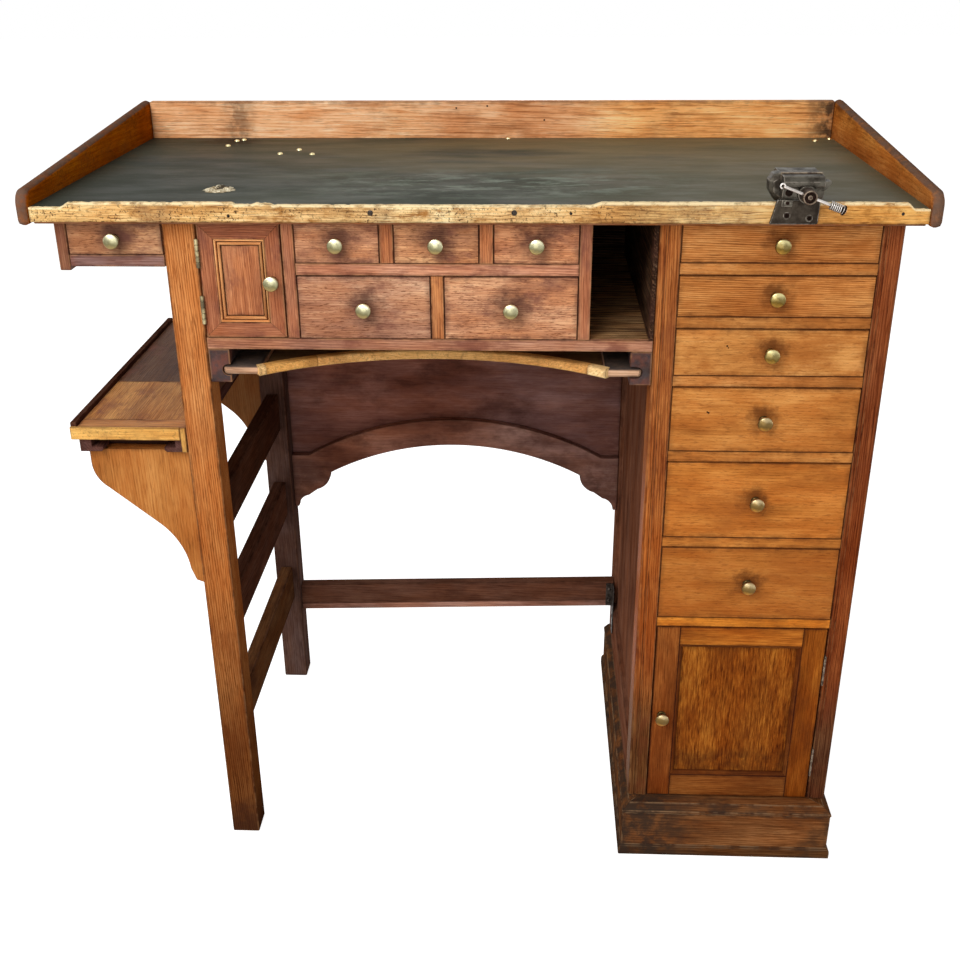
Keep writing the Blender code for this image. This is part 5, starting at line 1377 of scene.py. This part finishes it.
def make_plinth():
    low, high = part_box("plinth")
    step, wall, shoe, top = PLINTH_STEP, PLINTH_WALL, PLINTH_SHOE, high.z
    chamfer, rise = PLINTH_CHAMFER
    ledge = top - rise
    board = [(step, 0), (step, ledge - 0.003), (wall, ledge - 0.003), (wall, 0)]
    cap = [(step - 0.0012, ledge - 0.0028), (step - 0.0012, ledge)]
    cap += [(step + chamfer * 0.5, top - rise * 0.35), (step + chamfer, top)]
    cap += [(wall, top), (wall, ledge - 0.0028)]
    moulding = [(0, 0), (0, shoe * 0.55), *arc((0.006, shoe * 0.55), (0.006, shoe * 0.45), 180, 90, 5)[1:]]
    moulding += [(0.010, shoe), (0.010, 0)]
    plinth = Piece("plinth_boards", "plinth")
    for side, grain, far, tint in PLINTH_SIDES:
        for pairs, shade in ((board, 1.0), (cap, 0.82), (moulding, 0.48)):
            shape = mitred_shape(side, (low.x, low.y), (high.x, high.y), pairs, "xyz", far, EASED)
            plinth.put(shape, grain, [shade * value for value in tint])
    rear = (low.x + wall, high.y - PLINTH_REAR, 0)
    plinth.box(rear, (high.x - wall, high.y, top), tint=(0.8, 0.8, 0.8))
    plinth.done("bench", "plinth", slot="dark_oak")


# Side shelf

SHELF_TOP = 0.669
SHELF_BOARD = 0.017
SHELF_RIM = 0.008
SHELF_FACING = 0.0045
SHELF_STRIP = 0.030
SHELF_JOINT = -0.054
SHELF_CLEAT = 0.007
LEDGE_INSET = 0.009
LEDGE_POST = 0.016
LEDGE_REACH = 0.015
LEDGE_HEIGHT = 0.007
LEDGE_CUT = 0.003
BRACKET_TINTS = {"front": (0.80, 0.80, 0.74), "rear": (0.45, 0.45, 0.5)}
BRACKET_LOBE = 0.044
BRACKET_SWEEP = 0.104


def make_shelf():
    low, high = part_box("side_shelf")
    top, under = SHELF_TOP, SHELF_TOP - SHELF_BOARD
    rim, cleat = low.x + SHELF_RIM, high.x - SHELF_CLEAT
    facing, strip = low.y + SHELF_FACING, low.y + SHELF_STRIP
    shelf = Piece("side_shelf_boards", "pale", "case", "dark")
    shelf.box((low.x, low.y, under), (cleat, facing, top + 0.0006), "x", ARRIS, (1.18, 1.10, 0.86))
    shelf.box((rim, facing, under), (high.x, strip, top), "x", CRISP, (1.10, 1.25, 1.0), 1)
    # A dark rail under the shelf's front stands for the shade beneath the shelf
    shade_rail_corner = (low.x + 0.025, low.y + 0.035, low.z - 0.03)
    shelf.box(shade_rail_corner, (high.x - 0.016, low.y + 0.043, under), "x", CRISP, (0.5, 0.5, 0.6), 2)
    shelf.box((rim, strip + FIT, under), (high.x, SHELF_JOINT, top), "y", CRISP, (1.06, 1.22, 0.85), 1)
    shelf.box((rim, SHELF_JOINT + FIT, under), (high.x, high.y, top), "y", CRISP, (0.26, 0.30, 0.34), 1)
    shelf.box((low.x, low.y + 0.004, under), (rim, high.y, high.z), "y", 0.0014, (0.9, 0.9, 0.9), 2)
    end = (cleat + FIT, low.y + 0.0005, low.z + 0.001)
    shelf.box(end, (high.x, low.y + 0.0038, top), "z", CRISP, (0.9, 0.8, 0.6))
    ledge = low.z + LEDGE_HEIGHT
    for outer, inward in ((low.x + LEDGE_INSET, 1), (high.x, -1)):
        post = outer + inward * LEDGE_POST
        tip = post + inward * LEDGE_REACH
        outline = [(outer, under), (outer, low.z), (tip - inward * LEDGE_CUT, low.z)]
        outline += [(tip, low.z + LEDGE_CUT), (tip, ledge), (post, ledge), (post, under)]
        shelf.prism(outline, "y", low.y + 0.004, high.y, "y", 0.0006, (1.15, 1.2, 1.5), 2)
    shelf.done("bench", "side_shelf", slot="pale_bare_wood")

    for place, tint in BRACKET_TINTS.items():
        node = "shelf_" + place + "_bracket"
        low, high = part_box(node)
        lobe = (low.x + BRACKET_LOBE, high.z - 0.021)
        toe = (high.x - 0.019, low.z + 0.014)
        sweep = (toe[0] - BRACKET_SWEEP * math.cos(math.radians(5)), toe[1])
        outline = [(high.x, high.z), (low.x, high.z), *arc(lobe, BRACKET_LOBE, 180, 235, 10)]
        outline += arc(sweep, BRACKET_SWEEP, 51, 5, 12)
        outline += [(toe[0] + 0.0063, low.z + 0.0047), (high.x, low.z)]
        bracket = Piece("shaped_" + place + "_bracket", "honey_oak")
        bracket.prism(outline, "y", low.y, high.y, "z", EASED, tint)
        bracket.done("bench", node, slot="orange_oak")


# Vise

JAW_GRIP = 0.011
JAW_GRIP_PROUD = 0.0016
JAW_GRIP_THICK = 0.0022
JAW_GRIP_SEAT = 0.0024
JAW_COLLAR = ((0, 0), (0.0108, 0), (0.0108, 0.0045), (0.0100, 0.0058), (0.0088, 0.0066), (0, 0.0066))
JAW_RECESS = stud(0.0042, 0.0012, 0.0030, 0.0014, 0.0014, sunk=0)
VISE_FOOT = 0.0022
# Place on the plate, radius and stand of each screw
VISE_SCREWS = ((0.0085, 0.0105, 0.0026, 0.0), (0.0345, 0.0075, 0.0026, 0.0),
               (0.0075, 0.0255, 0.0020, VISE_FOOT))
SCREW_HEAD = 0.0085
SCREW_SHANK = 0.0035
SCREW_HEAD_LENGTH = 0.0167
SCREW_PIT = stud(0.0056, -0.0024, 0.0026, -0.0024, -0.0024, sunk=0.0032)
SCREW_STUB = stud(0.0026, -0.0008, 0.0018, -0.0002, -0.0002, sunk=0.0030)
HANDLE_LEFT = -0.031
HANDLE_RIGHT = 0.0455
HANDLE_ROD = 0.0017
HANDLE_TILT = math.radians(21)
HANDLE_ALONG = Vector((math.cos(HANDLE_TILT), 0, -math.sin(HANDLE_TILT)))
HANDLE_SIDE = Vector((math.sin(HANDLE_TILT), 0, math.cos(HANDLE_TILT)))
HANDLE_CAP = ((0, -0.0001), (0.0056, -0.0001), (0.0058, 0.0004), (0.0058, 0.0018), (0.0048, 0.0026),
              (0, 0.0026))
HANDLE_SHADE = (2, 2, 2)
SPRING_TURNS = 6
SPRING_STEPS = 22 * SPRING_TURNS
SPRING_COIL = 0.0046
SPRING_WIRE = 0.00066
SPRING_PITCH = 0.0023


def screw_end():
    """The middle of the screw's front face."""
    low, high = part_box("vise_screw")
    return (low.x + high.x) / 2, low.y, (low.z + high.z) / 2


def make_vise_body():
    low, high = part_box("vise_body")
    jaw_low, jaw_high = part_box("vise_jaw")
    left, right, top = jaw_low.x, jaw_high.x, jaw_high.z
    under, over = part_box("front_lip")[1].z + FIT, jaw_low.z - FIT
    face, crown = jaw_high.y + FIT, top - JAW_GRIP_PROUD
    body = Piece("vise_casting", "iron", "hole", "rust", "plate")
    plate = [(low.x + 0.0015, low.z), (right - 0.002, low.z), (right - 0.001, over), (low.x + 0.0085, over)]
    body.prism(plate, "y", low.y, low.y + 0.005, "z", 0.0016, PLAIN, 3)
    body.box((left, low.y + 0.001, under), (right, face + 0.012, over), "x", CRISP)
    seat = face + JAW_GRIP_SEAT
    rear = [(seat, under), (high.y - 0.012, under), (high.y, under + 0.010)]
    rear += [(high.y, crown - 0.005), (high.y - 0.006, crown), (seat, crown)]
    body.prism(rear, "x", left, right, "x", EASED)
    body.box((left, face, top - JAW_GRIP), (right, face + JAW_GRIP_THICK, top), "x", FINE, PLAIN, 2)
    rings = []
    for inset, y in ((0.0, face + 0.022), (0.0, face + 0.004), (0.0050, face - 0.0008)):
        ear = [(left + 0.001, top - 0.034 + inset), (left - 0.004 + inset, top - 0.033 + inset)]
        ear += [(low.x + 0.001 + inset, top - 0.022), (low.x + inset, top - 0.011)]
        ear += [(low.x + 0.005 + inset, top - 0.003 - inset), (left + 0.001, top - 0.001 - inset)]
        rings.append([(x, y, z) for x, z in ear])
    ear = loft(rings)
    soften(ear, NEAT)
    body.put(ear, "z")
    foot = (left + 0.001, low.y - VISE_FOOT, low.z + 0.021)
    body.box(foot, (left + 0.0135, low.y + 0.002, over + 0.0002), "z", EASED)
    for across, up, radius, stand in VISE_SCREWS:
        spot = (left + across, low.y - stand, low.z + up)
        body.turn(stud(radius + 0.0016, 0.0002, radius, 0.0005, 0.0005), spot, grain="z")
        body.turn(stud(radius, 0.0005, radius * 0.8, 0.0007, 0.0006), spot, grain="z", finish=1)
    body.done("bench", "vise_body", slot="iron")


def make_vise_jaw():
    low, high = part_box("vise_jaw")
    crown, seat = high.z - JAW_GRIP_PROUD, high.y - JAW_GRIP_SEAT
    jaw = Piece("vise_front_jaw", "iron", "hole", "rust")
    nose = [(seat, low.z), (low.y + 0.010, low.z), (low.y + 0.006, low.z + 0.004)]
    nose += [(low.y + 0.0045, high.z - 0.015), (low.y, high.z - 0.0115), (low.y, high.z - 0.0075)]
    nose += [(low.y + 0.30 * (high.y - low.y), crown), (seat, crown)]
    jaw.prism(nose, "x", low.x, high.x, "x", 0.0009)
    jaw.box((low.x, high.y - JAW_GRIP_THICK, high.z - JAW_GRIP), high, "x", FINE, PLAIN, 2)
    horn = [(high.x - 0.002, high.z - 0.0185), (high.x + 0.003, high.z - 0.0150)]
    horn += [(high.x + 0.0075, high.z - 0.0085), (high.x + 0.0065, high.z - 0.0065)]
    horn += [(high.x - 0.002, high.z - 0.0075)]
    jaw.prism(horn, "y", low.y + 0.003, high.y - 0.005, "x", CRISP)
    x, _, z = screw_end()
    jaw.turn(JAW_COLLAR, (x, low.y + 0.007, z), sides=36)
    # A near-black stud paints the shadow in the hole at the jaw's lower left
    jaw.turn(JAW_RECESS, (low.x + 0.0075, low.y + 0.0058, low.z + 0.0085), finish=1)
    jaw.done("vise_jaw", "vise_jaw", slot="iron")


def make_vise_screw():
    low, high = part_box("vise_screw")
    head, neck, length = SCREW_HEAD, -SCREW_HEAD_LENGTH, high.y - low.y
    profile = [(0, -length), (SCREW_SHANK, -length), (SCREW_SHANK, neck), (head - 0.0012, neck)]
    profile += [(head, neck + 0.0012), (head, -0.0022), (head - 0.0007, -0.0006), (head - 0.0014, 0)]
    profile += [(0.0066, 0), (0.0060, -0.0008), (0.0057, -0.0030), (0, -0.0030)]
    screw = Piece("vise_screw_boss", "rust", "hole")
    screw.turn(profile, screw_end(), sides=40)
    # The pit in the boss is near black: painted shadow in its hollow
    screw.turn(SCREW_PIT, screw_end(), finish=1)
    screw.turn(SCREW_STUB, screw_end(), sides=20)
    screw.done("vise_screw", "vise_screw", slot="iron")


def make_vise_handle():
    x, y, z = screw_end()
    middle = Vector((x, y + SCREW_HEAD_LENGTH / 2, z))
    along, side = HANDLE_ALONG, HANDLE_SIDE
    left, right = HANDLE_LEFT, HANDLE_RIGHT
    stem = [(0, left), (0.0012, left), (HANDLE_ROD, left + 0.0010), (HANDLE_ROD, right - 0.0040)]
    stem += [(0.0050, right - 0.0038), (0.0054, right - 0.0030), (0.0054, right - 0.0014)]
    stem += [(0.0044, right - 0.0002), (0.0030, right), (0.0026, right - 0.0012), (0, right - 0.0012)]
    handle = Piece("vise_handle_bar", "steel", "hole")
    handle.turn(stem, middle, along, 28)
    handle.turn(HANDLE_CAP, middle + along * (right - 0.0032), along, 28, "x", HANDLE_SHADE, 1)
    handle.turn(rod(0.0031, 0.0138), middle + along * (right - 0.0182), along, 24, "x", HANDLE_SHADE, 1)
    hook = arc((left - 0.0016, 0), 0.0026, 280, 0, 18)
    handle.put(tube_shape([middle + along * u + side * v for u, v in hook], 0.0010))
    handle.done("vise_handle", "vise_handle", slot="steel")

    last = right - 0.0040 - FIT - SPRING_WIRE
    across = along.cross(side)
    path = []
    for step in range(SPRING_STEPS + 1):
        share = step / SPRING_STEPS
        angle = 2 * math.pi * SPRING_TURNS * share
        centre = middle + along * (last - SPRING_TURNS * SPRING_PITCH * (1 - share))
        path.append(centre + SPRING_COIL * (math.cos(angle) * side + math.sin(angle) * across))
    spring = Piece("coiled_handle_spring", "steel")
    spring.put(tube_shape(path, SPRING_WIRE))
    spring.done("vise_handle", "vise_handle_spring", slot="steel")


# Studio

FLOOR_HALF = 14
FLOOR_DROP = 0.0005
FLOOR_GLOW = 0.86
WHITE = (1, 1, 1, 1)
AMBIENT = 0.36
# Name, place, aim, size and power of each lamp
LAMPS = (("key", (-1.1, -2.1, 2.55), (0, -0.1, 0.6), 1.9, 58),
         ("fill", (-0.3, -3.2, 0.75), (0, 0, 0.5), 2.2, 26),
         ("left", (-2.7, 0.2, 0.62), (0, 0.05, 0.5), 1.2, 15),
         ("right", (2.7, 0.2, 0.62), (0, 0.05, 0.5), 1.2, 18),
         ("back", (0.1, 3.0, 0.62), (0, 0.2, 0.5), 1.2, 26))


def make_floor():
    n = Nodes(bpy.data.materials.new("studio_floor"))
    surface_values = {"Base Color": (0.62, 0.61, 0.60, 1), "Roughness": 0.9, "Specular IOR Level": 0.0}
    for key, value in surface_values.items():
        n.link(n.shader.inputs[key], value)
    matt = n.shader.outputs[0]
    glow = n.node("Emission", {"Color": WHITE, "Strength": FLOOR_GLOW}).outputs[0]
    both = n.node("AddShader", {0: matt, 1: glow}).outputs[0]
    shown = n.node("MixShader", {0: n.seen(), 1: matt, 2: both}).outputs[0]
    n.link(n.tree.nodes["Material Output"].inputs["Surface"], shown)
    mesh = bpy.data.meshes.new("studio_floor")
    corners = [(-1, -1), (1, -1), (1, 1), (-1, 1)]
    mesh.from_pydata([(x * FLOOR_HALF, y * FLOOR_HALF, 0) for x, y in corners], [], [(0, 1, 2, 3)])
    mesh.materials.append(n.owner)
    floor = bpy.data.objects.new("studio_floor", mesh)
    floor.location.z = -FLOOR_DROP
    bpy.context.scene.collection.objects.link(floor)


def make_light():
    """An even surround that shows white, and lamps round the bench."""
    world = bpy.data.worlds.new("studio")
    n = Nodes(world, "Background")
    strength = n.node("MapRange", {"Value": n.seen(), "To Min": AMBIENT}).outputs[0]
    n.link(n.shader.inputs["Strength"], strength)
    n.link(n.shader.inputs["Color"], WHITE)
    bpy.context.scene.world = world
    for name, place, aim, size, power in LAMPS:
        data = bpy.data.lights.new(name, "AREA")
        data.shape = "DISK"
        data.size = size
        data.energy = power
        lamp = bpy.data.objects.new(name, data)
        lamp.location = place
        lamp.rotation_euler = (Vector(aim) - Vector(place)).to_track_quat("-Z", "Y").to_euler()
        bpy.context.scene.collection.objects.link(lamp)


CAMERA_PLACE = (0.0699, -1.6436, 1.2589)
CAMERA_PITCH = math.radians(-24.926)
CAMERA_YAW = math.radians(2.603)
CAMERA_ROLL = math.radians(0.437)
FOCAL_PIXELS = 1192.45
PICTURE = 960
SENSOR = 36


def make_camera():
    data = bpy.data.cameras.new("camera")
    data.sensor_width = SENSOR
    data.lens = FOCAL_PIXELS / PICTURE * SENSOR
    camera = bpy.data.objects.new("camera", data)
    turn = Matrix.Rotation(CAMERA_YAW, 3, "Z") @ Matrix.Rotation(CAMERA_PITCH, 3, "X")
    turn = turn @ Matrix.Rotation(CAMERA_ROLL, 3, "Y")
    facing = Matrix((turn.col[0], turn.col[2], -turn.col[1])).transposed()
    camera.matrix_world = Matrix.Translation(CAMERA_PLACE) @ facing.to_4x4()
    bpy.context.scene.collection.objects.link(camera)
    bpy.context.scene.camera = camera
    bpy.context.scene.view_settings.view_transform = "Standard"


make_top()
make_lip()
make_tear()
make_legs()
make_stretcher()
make_back()
make_drawers()
make_case()
make_tray()
make_outer_case()
make_cupboard_door()
make_pedestal_door()
make_hinges()
make_pedestal()
make_plinth()
make_shelf()
make_vise_body()
make_vise_jaw()
make_vise_screw()
make_vise_handle()
make_floor()
make_light()
make_camera()
